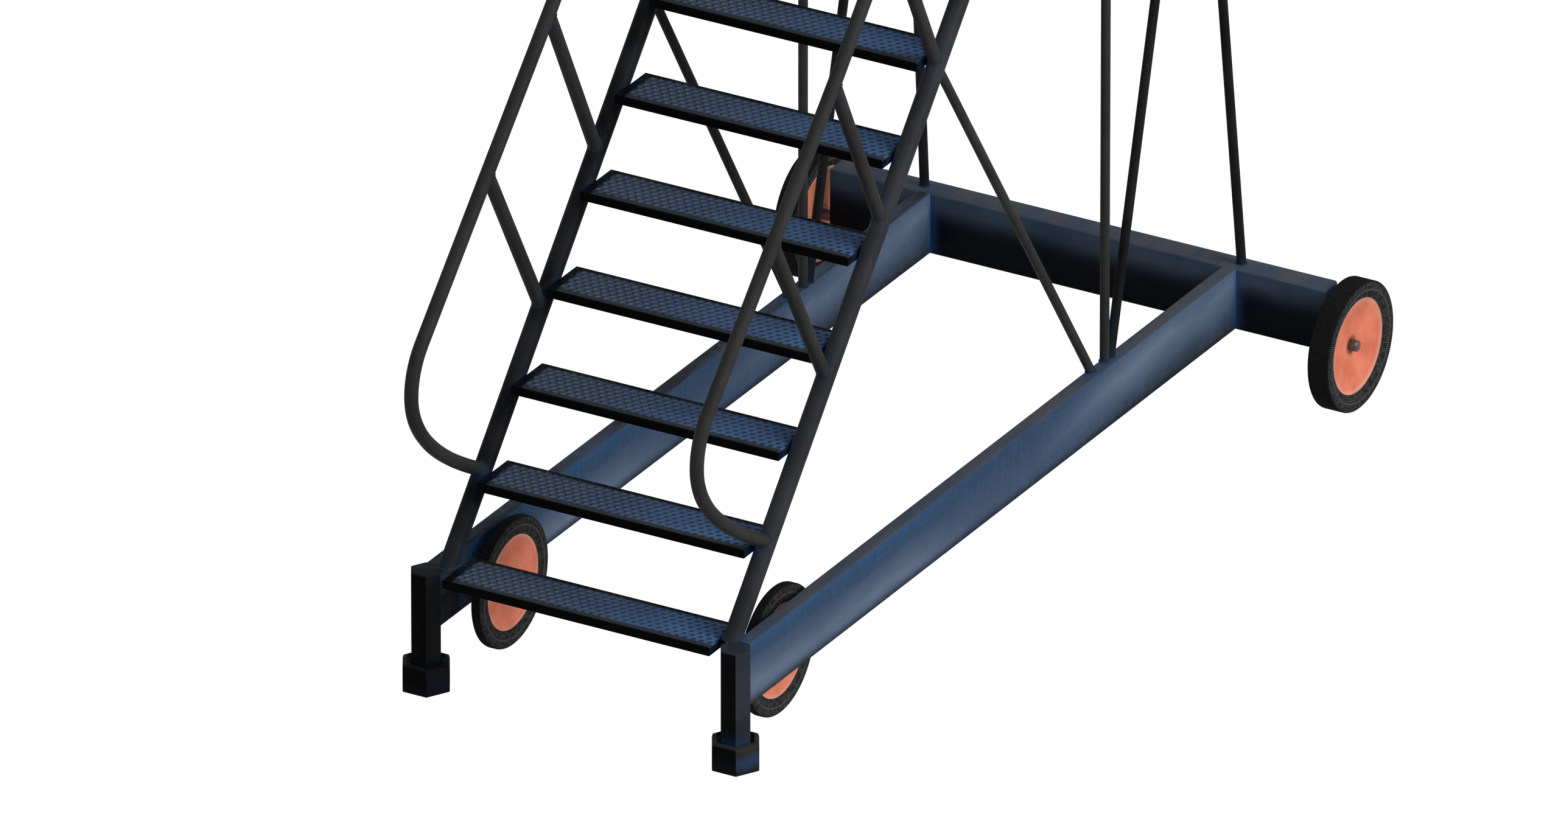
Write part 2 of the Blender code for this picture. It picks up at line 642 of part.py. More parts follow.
def guard_rails():
    """A guard rail and a knee rail across the back, and a knee rail on each side."""
    guard_z = PLATFORM_TOP + GUARD_HEIGHT - GUARD_DROP
    knee_z = PLATFORM_TOP + KNEE_HEIGHT
    both = tuple(HANDRAIL_CUTTERS.values())
    left, right = -STRINGER_X, STRINGER_X
    straight_tube("rear_guard_rail", (left, GUARD_REAR_Y, guard_z), (right, GUARD_REAR_Y, guard_z),
                  STANCHION_RADIUS, HANDRAIL_WALL, both)
    straight_tube("rear_knee_rail", (left, GUARD_REAR_Y, knee_z), (right, GUARD_REAR_Y, knee_z),
                  KNEE_RADIUS, HANDRAIL_WALL, both)
    front_y = HANDRAIL_KNEE[0] + (knee_z - HANDRAIL_KNEE[1]) / UPPER_SLOPE
    for word, side in SIDES:
        x = side * STRINGER_X
        straight_tube(f"side_knee_rail_{word}", (x, front_y, knee_z), (x, GUARD_REAR_Y, knee_z),
                      KNEE_RADIUS, HANDRAIL_WALL, (HANDRAIL_CUTTERS[side],))


def place_origin():
    """Centre the ladder's footprint, front to back, on the world origin."""
    depsgraph = bpy.context.evaluated_depsgraph_get()
    lengthwise = []
    for part in PARTS.objects:
        if part.type == "MESH":
            shape = part.evaluated_get(depsgraph)
            lengthwise += [(shape.matrix_world @ Vector(corner)).y for corner in shape.bound_box]
    ROOT.location.y = -(min(lengthwise) + max(lengthwise)) / 2


def build_ladder():
    rear_beam()
    axle("rear_axle", (0.0, REAR_AXLE_Y, WHEEL_RADIUS), REAR_AXLE_HALF, -REAR_AXLE_HALF)
    for word, side in SIDES:
        side_beam(word, side)
        front_leg(word, side)
        foot(word, side)
        front_axle(word, side)
        stringer(word, side)
        platform_rail(word, side)
        front_brace(word, side)
        struts(word, side)
        handrail(word, side)
        stanchions(word, side)
        wheel(f"front_{word}", side, FRONT_WHEEL_X, FRONT_AXLE_Y, **FRONT_SIZES)
        wheel(f"rear_{word}", side, REAR_WHEEL_X, REAR_AXLE_Y, **REAR_SIZES)
    for level in range(1, TREAD_COUNT + 1):
        tread(level)
    platform_deck()
    guard_rails()
    place_origin()


build_ladder()
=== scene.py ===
"""Looks of the library ladder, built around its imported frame.

Metres, +Z up. Lengthwise places are given from the line through the two front legs and moved into
the frame by at(). Box sections, legs, feet, axles and straight tubes are the frame's own nodes with
finished edges and paint. Treads, platform, handrails, tyres and wheel discs are finer pieces that
stand in for their nodes. Weld beads are added where tubes meet and along the deck's sides.
"""

import math

import bmesh
import bpy
from mathutils import Matrix, Vector
from mathutils.geometry import interpolate_bezier


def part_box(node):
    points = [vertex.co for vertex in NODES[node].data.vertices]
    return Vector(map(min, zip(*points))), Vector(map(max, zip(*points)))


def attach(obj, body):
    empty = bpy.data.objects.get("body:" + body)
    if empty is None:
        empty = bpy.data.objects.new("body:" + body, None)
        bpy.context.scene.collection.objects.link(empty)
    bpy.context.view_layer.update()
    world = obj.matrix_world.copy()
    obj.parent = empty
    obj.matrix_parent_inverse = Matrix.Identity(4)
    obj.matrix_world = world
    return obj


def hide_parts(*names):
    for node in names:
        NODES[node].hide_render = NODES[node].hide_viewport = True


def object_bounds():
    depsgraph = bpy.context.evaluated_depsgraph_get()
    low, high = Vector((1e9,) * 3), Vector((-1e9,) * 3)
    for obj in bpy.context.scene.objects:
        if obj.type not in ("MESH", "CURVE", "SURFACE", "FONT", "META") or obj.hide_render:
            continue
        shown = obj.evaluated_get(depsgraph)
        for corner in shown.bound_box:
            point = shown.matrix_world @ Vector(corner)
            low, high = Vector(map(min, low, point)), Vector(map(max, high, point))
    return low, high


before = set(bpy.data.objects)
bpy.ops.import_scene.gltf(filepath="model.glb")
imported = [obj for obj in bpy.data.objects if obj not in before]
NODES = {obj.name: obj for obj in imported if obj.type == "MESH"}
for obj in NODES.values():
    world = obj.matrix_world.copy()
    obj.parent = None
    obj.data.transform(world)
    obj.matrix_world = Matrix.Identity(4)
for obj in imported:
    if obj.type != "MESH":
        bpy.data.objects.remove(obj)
CAD_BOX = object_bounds()
SIDES = (("left", -1), ("right", 1))


def middle(node):
    low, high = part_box(node)
    return (low + high) / 2


LEG_LINE_Y = middle("front_leg_left").y
BEAM_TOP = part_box("side_beam_left")[1].z
PLATFORM_RISE = 2.068           # of the platform above the base beams
PLATFORM_TOP = BEAM_TOP + PLATFORM_RISE


def at(x, y, z):
    """A point given from the leg line, in the frame."""
    return Vector((x, y + LEG_LINE_Y, z))


# --- Camera and light ----------------------------------------------------------------------------

VIEW_AZIMUTH = math.radians(29.81)
VIEW_ELEVATION = math.radians(25.96)
VIEW_WIDTH = 4.614
LENS = 890.0            # millimetres, so that the view is almost parallel
SENSOR = 36.0
LOOK_AT = Vector((-0.1257, -0.0926, 0.3803))
CLIP_END = 500.0

KEY_DIRECTION = (0.87, 0.03, 0.49)  # from the right and above
KEY_DISTANCE = 14.0
KEY_SIZE = 7.0
KEY_POWER = 1250.0
KEY_TARGET = Vector((0.0, 0.0, 1.0))


def make_camera():
    data = bpy.data.cameras.new("camera")
    data.lens = LENS
    data.sensor_width = SENSOR
    data.clip_end = CLIP_END
    camera = bpy.data.objects.new("camera", data)
    bpy.context.scene.collection.objects.link(camera)
    back = Vector((math.sin(VIEW_AZIMUTH) * math.cos(VIEW_ELEVATION),
                   -math.cos(VIEW_AZIMUTH) * math.cos(VIEW_ELEVATION),
                   math.sin(VIEW_ELEVATION)))
    camera.location = LOOK_AT + back * (VIEW_WIDTH * LENS / SENSOR)
    camera.rotation_mode = "QUATERNION"
    camera.rotation_quaternion = (-back).to_track_quat("-Z", "Y")
    bpy.context.scene.camera = camera


def make_key_light():
    """One square soft box."""
    data = bpy.data.lights.new("key", "AREA")
    data.shape = "SQUARE"
    data.size = KEY_SIZE
    data.energy = KEY_POWER
    light = bpy.data.objects.new("key", data)
    bpy.context.scene.collection.objects.link(light)
    direction = Vector(KEY_DIRECTION).normalized()
    light.location = KEY_TARGET + direction * KEY_DISTANCE
    light.rotation_mode = "QUATERNION"
    light.rotation_quaternion = (-direction).to_track_quat("-Z", "Y")


# --- Material helpers ----------------------------------------------------------------------------


def add_node(tree, kind, settings=None, **inputs):
    """A shader node with its settings, and inputs given as values or as sockets to link."""
    made = tree.nodes.new("ShaderNode" + kind)
    for key, value in (settings or {}).items():
        setattr(made, key, value)
    for key, value in inputs.items():
        socket = made.inputs[int(key[1:]) if key[0] == "i" and key[1:].isdigit() else key]
        plug(tree, socket, value)
    return made


def plug(tree, socket, value):
    if isinstance(value, bpy.types.NodeSocket):
        tree.links.new(value, socket)
    elif socket.type == "RGBA":
        socket.default_value = (*value[:3], 1.0)
    else:
        socket.default_value = value


def calculate(tree, operation, first, second=0.0, third=0.0):
    return add_node(tree, "Math", {"operation": operation}, i0=first, i1=second, i2=third).outputs[0]


def mix(tree, factor, first, second):
    """A colour between two."""
    made = add_node(tree, "Mix", {"data_type": "RGBA"})
    plug(tree, made.inputs[0], factor)
    plug(tree, made.inputs[6], first)
    plug(tree, made.inputs[7], second)
    return made.outputs[2]


def ramp(tree, value, low, high, to_low=0.0, to_high=1.0):
    """value from low to high becomes to_low to to_high, smoothly and clamped."""
    made = add_node(tree, "MapRange", {"interpolation_type": "SMOOTHSTEP"}, Value=value)
    for key, number in (("From Min", low), ("From Max", high), ("To Min", to_low),
                        ("To Max", to_high)):
        made.inputs[key].default_value = number
    return made.outputs[0]


def colour_band(tree, value, stops):
    """A colour for each place along value, 0 to 1."""
    made = add_node(tree, "ValToRGB", Fac=value)
    elements = made.color_ramp.elements
    while len(elements) < len(stops):
        elements.new(0.5)
    for element, (place, colour) in zip(elements, stops):
        element.position = place
        element.color = (*colour, 1.0)
    return made.outputs[0]


def local_place(tree):
    """Coordinates on the piece itself."""
    return add_node(tree, "TexCoord").outputs["Object"]


def axes(tree):
    parts = add_node(tree, "SeparateXYZ", Vector=local_place(tree))
    return parts.outputs[0], parts.outputs[1], parts.outputs[2]


COPY_SHIFT = (7.0, 7.0, 7.0)    # moves the pattern on by this much for each metre between copies


def place_in_row(tree):
    """Coordinates that differ from one copy of a shared mesh to the next."""
    origin = add_node(tree, "ObjectInfo").outputs["Location"]
    return add_node(tree, "VectorMath", {"operation": "MULTIPLY_ADD"}, i0=origin, i1=COPY_SHIFT,
                    i2=local_place(tree)).outputs[0]


def noise(tree, size, detail=3.0, turn=(0.0, 0.0, 0.0), place=None):
    """Noise whose features measure size along X, Y and Z, in metres, in a frame turned by turn."""
    sizes = size if isinstance(size, tuple) else (size, size, size)
    turned = add_node(tree, "Mapping", {"vector_type": "TEXTURE"}, Vector=place or local_place(tree),
                      Rotation=turn, Scale=sizes).outputs[0]
    return add_node(tree, "TexNoise", Vector=turned, Scale=1.0, Detail=detail).outputs[0]


def new_material(name, roughness, metallic, specular=0.5):
    made = bpy.data.materials.new(name)
    made.use_nodes = True
    shader = made.node_tree.nodes["Principled BSDF"]
    shader.inputs["Roughness"].default_value = roughness
    shader.inputs["Metallic"].default_value = metallic
    shader.inputs["Specular IOR Level"].default_value = specular
    return made, made.node_tree, shader


def bump(tree, shader, height, distance, strength):
    made = add_node(tree, "Bump", Height=height, Distance=distance, Strength=strength)
    tree.links.new(made.outputs[0], shader.inputs["Normal"])


STROKE = (0.026, 0.0013, 0.026)     # length, width and length of a scratch along X, Y and Z
STROKE_TURNS = (0.30, -0.26, 0.10)  # how far the strokes lean


def scratches(tree):
    """Short fine strokes that lean both ways, in patches: 0 to 1."""
    strokes = 0.0
    for turn in STROKE_TURNS:
        grain = noise(tree, STROKE, 1.0, (turn, 0.1, turn))
        strokes = calculate(tree, "MAXIMUM", strokes, ramp(tree, grain, 0.71, 0.76))
    patches = ramp(tree, noise(tree, 0.16, 1.0), 0.40, 0.60)
    return calculate(tree, "MULTIPLY", strokes, patches)


def nearness(tree, distance):
    """1 in a crevice, 0 in the open."""
    occlusion = add_node(tree, "AmbientOcclusion", {"samples": 6}, Distance=distance)
    return ramp(tree, occlusion.outputs["AO"], 0.45, 0.95, 1.0, 0.0)


def facing(tree):
    """The surface's direction along the ladder's X, Y and Z."""
    parts = add_node(tree, "SeparateXYZ", Vector=add_node(tree, "NewGeometry").outputs["Normal"])
    return parts.outputs[0], parts.outputs[1], parts.outputs[2]


def shade(red, green, blue):
    """A colour from display values, 0 to 255."""
    return tuple(((value / 255 + 0.055) / 1.055) ** 2.4 if value > 10 else value / 255 / 12.92
                 for value in (red, green, blue))


BLACK = (0.0, 0.0, 0.0)
# how black the painted shade on forward faces is
FRONT_SHADE = 0.94
CREVICE = 0.045         # how far the blue painted shade reaches from a joint
SCRATCH = (0.20, 0.25, 0.32)


def finish_paint(tree, shader, colour, crevice_shade, scratch_share):
    """Blue painted shade at joints, then the scratches and the fine texture that all painted steel has."""
    colour = mix(tree, calculate(tree, "MULTIPLY", nearness(tree, CREVICE), 0.75), colour, crevice_shade)
    rearward = ramp(tree, facing(tree)[1], -0.9, -0.5)
    strokes = calculate(tree, "MULTIPLY", scratches(tree), rearward)
    colour = mix(tree, calculate(tree, "MULTIPLY", strokes, scratch_share), colour, SCRATCH)
    tree.links.new(colour, shader.inputs["Base Color"])
    sheen = ramp(tree, noise(tree, 0.03, 4.0), 0.3, 0.7, PAINT_ROUGHNESS - 0.08, PAINT_ROUGHNESS + 0.08)
    tree.links.new(sheen, shader.inputs["Roughness"])
    bump(tree, shader, calculate(tree, "SUBTRACT", noise(tree, 0.004, 2.0), strokes), 0.0003, 0.30)


def darken_front(tree, colour, strength=FRONT_SHADE):
    """Painted shade: black on the faces that look straight forward, away from the key light."""
    forward = ramp(tree, facing(tree)[1], -0.97, -0.60, 1.0, 0.0)
    return mix(tree, calculate(tree, "MULTIPLY", forward, strength), colour, BLACK)


# --- Materials -----------------------------------------------------------------------------------

PAINT_SHINE = 0.05
PAINT_ROUGHNESS = 0.5
# the blue painted shade at the beams' joints
BLUE_CREVICE_SHADE = (0.028, 0.090, 0.220)

# Colours up a beam's side, over one and a half times its height: painted shade, a painted highlight
# band, then a blue painted highlight at the top corner. The front end shows the upper two thirds of
# them, the rear end the lower two thirds.
BEAM_BANDS = (
    (0.00, shade(26, 36, 48)), (0.17, shade(48, 64, 84)), (0.34, shade(78, 95, 120)),
    (0.50, shade(98, 114, 137)), (0.67, shade(76, 93, 117)), (0.83, shade(50, 71, 98)),
    (0.92, shade(42, 72, 104)), (0.975, shade(40, 78, 118)), (1.00, shade(62, 72, 88)),
)
HIGHLIGHT_SHIFT = 0.5              # how far the colours move up towards the rear, over the beam's height
HIGHLIGHT_RISE = (1.2, 2.7)        # from the leg line, where they start and stop moving up
HIGHLIGHT_GAP = 1.6                # where the painted highlight band fades
SHADOWED_END = (0.15, 0.50)       # the stretch behind a leg, low on a beam's side, that takes a painted shadow
FOOT_BANDS = (0.000, 0.038, 0.076)  # heights of the bottom band and of the bevel band in the second colour
FOOT_FADE = 0.030               # how far up the bottom band fades out


def beam_paint(name, top_colour, shadowed=0.0):
    """Blue paint with painted light and shade. The last argument is how black the painted
    shadow on the side behind the leg is.
    """
    made, tree, shader = new_material(name, PAINT_ROUGHNESS, 0.0, PAINT_SHINE)
    low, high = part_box("side_beam_left")
    _, along, height = axes(tree)
    start, stop = HIGHLIGHT_RISE
    lead = ramp(tree, along, start + LEG_LINE_Y, stop + LEG_LINE_Y, HIGHLIGHT_SHIFT, 0.0)
    wander = ramp(tree, noise(tree, (0.3, 0.45, 0.3), 2.0), 0.3, 0.7, -0.08, 0.08)
    share = calculate(tree, "DIVIDE", calculate(tree, "SUBTRACT", height, low.z), high.z - low.z)
    inside = calculate(tree, "MINIMUM", calculate(tree, "MULTIPLY_ADD", share, -4.0, 4.0), 1.0)
    place = calculate(tree, "ADD", calculate(tree, "ADD", share, lead),
                      calculate(tree, "MULTIPLY", wander, inside))
    colour = colour_band(tree, calculate(tree, "DIVIDE", place, 1.0 + HIGHLIGHT_SHIFT), BEAM_BANDS)
    # The painted highlight band fades about the middle of the beam's length, and in random patches.
    gap = calculate(tree, "ABSOLUTE", calculate(tree, "SUBTRACT", along, HIGHLIGHT_GAP + LEG_LINE_Y))
    faded = ramp(tree, gap, 0.1, 0.8, 0.80, 0.0)
    patches = ramp(tree, noise(tree, (0.20, 0.45, 0.12), 3.0), 0.40, 0.68, 0.0, 0.40)
    colour = mix(tree, calculate(tree, "MAXIMUM", faded, patches), colour, shade(46, 67, 95))
    # Painted shade along the bottom edge.
    colour = mix(tree, ramp(tree, share, 0.0, 0.18, 0.90, 0.0), colour, shade(14, 17, 22))
    # A painted shadow low on the side behind the leg.
    if shadowed:
        first, last = SHADOWED_END
        end = ramp(tree, along, first + LEG_LINE_Y, last + LEG_LINE_Y, shadowed, 0.0)
        low_down = ramp(tree, share, 0.45, 0.75, 1.0, 0.0)
        colour = mix(tree, calculate(tree, "MULTIPLY", end, low_down), colour, BLACK)
    streaks = ramp(tree, noise(tree, (0.1, 0.010, 0.10), 2.0), 0.35, 0.75, 0.0, 0.05)
    colour = mix(tree, streaks, colour, shade(112, 124, 142))
    # The faces that look up take a colour of their own, darker on the left beam: painted light and shade.
    tops = mix(tree, ramp(tree, noise(tree, (0.06, 0.30, 0.06), 3.0), 0.35, 0.65), top_colour,
               shade(62, 74, 92))
    colour = mix(tree, ramp(tree, facing(tree)[2], 0.45, 0.95), colour, tops)
    # The painted shade on forward faces is weaker towards the top of the beam.
    front_shade = ramp(tree, share, 0.45, 1.0, FRONT_SHADE, 0.45)
    finish_paint(tree, shader, darken_front(tree, colour, front_shade), BLUE_CREVICE_SHADE, 0.55)
    return made


def dark_paint(name, deep, pale, crevice_shade, scratch_share, front_shade=True):
    """Charcoal paint whose tone drifts between two colours. The colours are display values."""
    made, tree, shader = new_material(name, PAINT_ROUGHNESS, 0.0, PAINT_SHINE)
    colour = mix(tree, ramp(tree, noise(tree, 0.22, 3.0), 0.32, 0.68), shade(*deep), shade(*pale))
    # Painted shade on the faces that look forward.
    if front_shade:
        colour = darken_front(tree, colour)
    finish_paint(tree, shader, colour, shade(*crevice_shade), scratch_share)
    return made


def foot_paint(name, low_colour, high_colour):
    """Blue paint on a foot's side, turning brown-grey at its bevel and its bottom edge."""
    made, tree, shader = new_material(name, PAINT_ROUGHNESS, 0.0, PAINT_SHINE)
    drift = ramp(tree, noise(tree, 0.05, 3.0), 0.3, 0.7, -0.010, 0.010)
    height = calculate(tree, "ADD", axes(tree)[2], drift)
    low, high, bevel = FOOT_BANDS
    grey_share = calculate(tree, "MAXIMUM", ramp(tree, height, low, low + FOOT_FADE, 1.0, 0.0),
                     ramp(tree, height, high, bevel))
    # Painted shade on the faces that look forward.
    colour = darken_front(tree, mix(tree, grey_share, low_colour, high_colour))
    finish_paint(tree, shader, colour, shade(18, 20, 24), 0.10)
    return made


def dome_place(tree):
    """Place about the nearest dome's middle on a dimpled sheet, across and along, over its radius."""
    x, y, _ = axes(tree)
    cos, sin = math.cos(DIMPLE_TURN), math.sin(DIMPLE_TURN)
    u = calculate(tree, "MULTIPLY_ADD", x, cos, calculate(tree, "MULTIPLY", y, sin))
    v = calculate(tree, "MULTIPLY_ADD", x, -sin, calculate(tree, "MULTIPLY", y, cos))
    rows = calculate(tree, "DIVIDE", v, DIMPLE_ROW)
    row = calculate(tree, "ROUND", rows)
    odd = calculate(tree, "ABSOLUTE", calculate(tree, "MODULO", row, 2.0))
    columns = calculate(tree, "SUBTRACT", calculate(tree, "DIVIDE", u, DIMPLE_PITCH),
                        calculate(tree, "MULTIPLY", odd, 0.5))
    across = calculate(tree, "SUBTRACT", columns, calculate(tree, "ROUND", columns))
    along = calculate(tree, "SUBTRACT", rows, row)
    return (calculate(tree, "MULTIPLY", across, DIMPLE_PITCH / DIMPLE_RADIUS),
            calculate(tree, "MULTIPLY", along, DIMPLE_ROW * DIMPLE_SQUEEZE / DIMPLE_RADIUS))


def length(tree, first, second):
    return calculate(tree, "SQRT", calculate(tree, "MULTIPLY_ADD", first, first,
                                             calculate(tree, "MULTIPLY", second, second)))


def tread_paint(name, half_x, half_y):
    """Navy paint on a dimpled sheet, with painted light and shade: lighter and bluer to the right, dark
    and pale crescents round the domes, and a black border and lip.
    """
    made, tree, shader = new_material(name, PAINT_ROUGHNESS, 0.0, PAINT_SHINE)
    x, y, z = axes(tree)
    # Painted light: the sheet turns lighter and bluer towards its right end.
    right = ramp(tree, x, -0.6 * half_x, half_x)
    cloud = ramp(tree, noise(tree, (0.20, 0.10, 0.10), 3.0, place=place_in_row(tree)), 0.30, 0.70)
    colour = mix(tree, right, shade(68, 83, 106), shade(70, 106, 152))
    colour = mix(tree, calculate(tree, "MULTIPLY", cloud, 0.45), colour, shade(44, 60, 86))
    across, along = dome_place(tree)
    distance = length(tree, across, along)
    # Painted shade and highlight: dark crescents behind the domes, stronger to the left; pale ones in
    # front.
    ring = calculate(tree, "MULTIPLY", ramp(tree, distance, 1.05, 1.40, 1.0, 0.0),
                     ramp(tree, distance, 0.35, 0.70))
    behind = ramp(tree, calculate(tree, "SUBTRACT", along, across), -0.9, 0.7, 0.15, 1.0)
    left = ramp(tree, right, 0.2, 1.0, 1.0, 0.55)
    strength = calculate(tree, "MULTIPLY", calculate(tree, "MULTIPLY", ring, behind), left)
    colour = mix(tree, strength, colour, shade(3, 5, 9))
    glint = calculate(tree, "MULTIPLY", ring, ramp(tree, behind, 0.15, 0.5, 0.55, 0.0))
    colour = mix(tree, glint, colour, shade(112, 126, 148))
    cap = calculate(tree, "MULTIPLY", ramp(tree, distance, 0.70, 1.0, 0.85, 0.0), right)
    colour = mix(tree, cap, colour, shade(26, 46, 80))
    front = calculate(tree, "MULTIPLY", y, -1.0)
    colour = mix(tree, ramp(tree, front, half_y - 0.026, half_y - 0.019), colour, shade(50, 54, 60))
    # Painted shade: black along the back, the front edge and lip, the left end, and a wedge at the right
    # end's back.
    edges = ((y, half_y - 0.030, half_y - 0.016), (front, half_y - 0.006, half_y - 0.002),
             (calculate(tree, "MULTIPLY", x, -1.0), half_x - 0.042, half_x - 0.026),
             (calculate(tree, "MULTIPLY_ADD", y, 0.2, x), half_x - 0.018, half_x - 0.004),
             (calculate(tree, "MULTIPLY", z, -1.0), 0.002, 0.006))
    for value, inner, outer in edges:
        colour = mix(tree, ramp(tree, value, inner, outer, 0.0, 0.97), colour, BLACK)
    finish_paint(tree, shader, colour, shade(26, 44, 72), 0.12)
    return made


def rubber():
    """Black rubber with pale dust in the grooves and on the ribs."""
    made, tree, shader = new_material("tyre_rubber", 0.80, 0.0, PAINT_SHINE)
    _, y, z = axes(tree)
    radius = length(tree, y, z)
    colour = mix(tree, noise(tree, 0.02, 4.0), shade(12, 12, 12), shade(30, 30, 30))
    deep = ramp(tree, radius, TYRE_RADIUS - 0.85 * GROOVE, TYRE_RADIUS - 0.25 * GROOVE, 1.0, 0.0)
    on_band = ramp(tree, calculate(tree, "ABSOLUTE", facing(tree)[0]), 0.05, 0.15, 1.0, 0.0)
    groove = calculate(tree, "MULTIPLY", calculate(tree, "MULTIPLY", deep, on_band), 0.85)
    colour = mix(tree, groove, colour, shade(124, 124, 124))
    angle = calculate(tree, "ARCTAN2", z, y)
    wave = calculate(tree, "SINE", calculate(tree, "MULTIPLY", angle, RIB_COUNT))
    on_side = ramp(tree, radius, TYRE_RADIUS - SHOULDER_DEPTH, TYRE_RADIUS - SHOULDER_DEPTH / 2, 1.0, 0.0)
    ribs = calculate(tree, "MULTIPLY", ramp(tree, wave, 0.2, 0.95), on_side)
    rings = calculate(tree, "SINE", calculate(tree, "MULTIPLY", radius, math.tau / RING_PITCH))
    rings = calculate(tree, "MULTIPLY", ramp(tree, rings, 0.7, 0.98, 0.0, 0.6), on_side)
    patchy = ramp(tree, noise(tree, 0.012, 3.0), 0.35, 0.65, 0.25, 1.0)
    dust = calculate(tree, "MULTIPLY", calculate(tree, "MAXIMUM", ribs, rings), patchy)
    colour = mix(tree, dust, colour, shade(92, 92, 92))
    # A painted highlight along the proud lip.
    lip = calculate(tree, "ABSOLUTE", calculate(tree, "SUBTRACT", radius, LIP_RADIUS))
    colour = mix(tree, ramp(tree, lip, 0.0005, 0.0040, 0.5, 0.0), colour, shade(92, 94, 97))
    tree.links.new(colour, shader.inputs["Base Color"])
    bump(tree, shader, noise(tree, 0.0015, 3.0), 0.0004, 0.5)
    return made


def disc_plastic():
    """Salmon moulding, with a painted highlight at its rim and painted shade round its hub."""
    made, tree, shader = new_material("wheel_disc_plastic", 0.55, 0.0, 0.25)
    _, y, z = axes(tree)
    radius = length(tree, y, z)
    tone = ramp(tree, noise(tree, (0.05, 0.07, 0.07), 4.0), 0.3, 0.7)
    colour = mix(tree, tone, shade(212, 112, 84), shade(234, 134, 104))
    # A painted highlight at the rim.
    colour = mix(tree, ramp(tree, radius, 0.130, 0.148, 0.0, 0.40), colour, shade(222, 184, 166))
    # Painted shade round the hub.
    colour = mix(tree, ramp(tree, radius, 0.020, 0.036, 0.75, 0.0), colour, shade(92, 52, 42))
    tree.links.new(colour, shader.inputs["Base Color"])
    bump(tree, shader, noise(tree, 0.004, 4.0), 0.0003, 0.25)
    return made


def bare_metal(name, dark, light, roughness):
    made, tree, shader = new_material(name, roughness, 0.9)
    marks = noise(tree, (0.001, 0.02, 0.02), 2.0)
    tree.links.new(mix(tree, ramp(tree, marks, 0.3, 0.7), dark, light), shader.inputs["Base Color"])
    bump(tree, shader, marks, 0.0001, 0.3)
    return made


# Sizes that both the shapes and their materials follow
DIMPLE_PITCH = 0.0271           # along a row
DIMPLE_ROW = 0.0215             # between rows
DIMPLE_TURN = math.radians(3.4)     # the sheet was cut a little off square
DIMPLE_RADIUS = 0.0080
DIMPLE_SQUEEZE = 1.1            # the domes are a little shorter front to back
TREAD_HALF = (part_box("tread_1")[1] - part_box("tread_1")[0]) / 2
DECK_HALF = (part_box("platform_deck")[1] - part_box("platform_deck")[0]) / 2
TYRE_RADIUS = (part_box("tyre_rear_left")[1].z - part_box("tyre_rear_left")[0].z) / 2
LIP_RADIUS = 0.1750
WHEEL_STEPS = 560           # steps round a tyre; one brick of the tread takes BRICK_STEPS
BRICK_STEPS = 4
GROOVE = 0.0012
RIB_COUNT = 190             # fine ribs round a sidewall
RING_PITCH = 0.0075         # between the rings on it
SHOULDER_DEPTH = 0.006      # the ribs end this far short of the tread

# Pairs are for the left and the right; the left ones are darker copies, a painted shade
BEAM_PAINTS = (beam_paint("beam_paint_left", shade(40, 42, 48), 0.92),
               beam_paint("beam_paint_right", shade(76, 78, 84)))
LEG_PAINTS = (
    dark_paint("leg_paint_left", (18, 19, 21), (26, 29, 33), (20, 32, 46), 0.20),
    dark_paint("leg_paint_right", (42, 46, 52), (51, 55, 62), (40, 72, 108), 0.20))
FOOT_PAINTS = (foot_paint("foot_paint_left", shade(18, 24, 32), shade(24, 24, 25)),
               foot_paint("foot_paint_right", shade(40, 60, 86), shade(46, 45, 44)))
STRINGER_PAINTS = (
    dark_paint("stringer_paint_left", (14, 15, 17), (38, 40, 44), (30, 50, 76), 0.20, False),
    dark_paint("stringer_paint_right", (42, 44, 48), (55, 57, 62), (40, 68, 102), 0.20, False))
TUBE_PAINT = dark_paint("tube_paint", (46, 46, 46), (53, 53, 54), (40, 66, 96), 0.15, False)
# A darker copy of the tube paint: painted shade on the rear struts and the left front brace.
SHADED_TUBE_PAINT = dark_paint("shaded_tube_paint", (22, 22, 23), (34, 34, 36), (30, 52, 78), 0.15, False)
TREAD_PAINT = tread_paint("tread_paint", TREAD_HALF.x, TREAD_HALF.y)
DECK_PAINT = tread_paint("deck_paint", DECK_HALF.x, DECK_HALF.y)
RUBBER = rubber()
DISC_PLASTIC = disc_plastic()
STEEL = bare_metal("bare_steel", (0.110, 0.110, 0.115), (0.210, 0.210, 0.220), 0.42)
BRONZE = bare_metal("bush_bronze", (0.250, 0.150, 0.070), (0.400, 0.260, 0.130), 0.35)

# --- The frame's own nodes -----------------------------------------------------------------------

# Node names begin with these; the materials are for the left, and for the right or the middle
NODE_MATERIALS = (
    (("side_beam", "rear_beam"), BEAM_PAINTS),
    (("front_leg", "platform_rail"), LEG_PAINTS),
    (("foot_left", "foot_right"), FOOT_PAINTS),
    (("stringer",), STRINGER_PAINTS),
    (("upright_post", "stanchion", "side_knee_rail", "rear_guard_rail", "rear_knee_rail"),
     (TUBE_PAINT, TUBE_PAINT)),
    (("front_brace",), (SHADED_TUBE_PAINT, TUBE_PAINT)),
    (("rear_brace", "rear_post"), (SHADED_TUBE_PAINT, SHADED_TUBE_PAINT)),
    (("front_axle", "rear_axle", "foot_screw"), (STEEL, STEEL)),
    (("wheel_bush",), (BRONZE, BRONZE)),
)
SPLIT_ANGLE = math.radians(36.0)
WELD_DISTANCE = 0.00002
SOFT_EDGE = 0.003           # on legs and feet
SOFT_STEPS = 3
SOFT_ANGLE = math.radians(20.0)


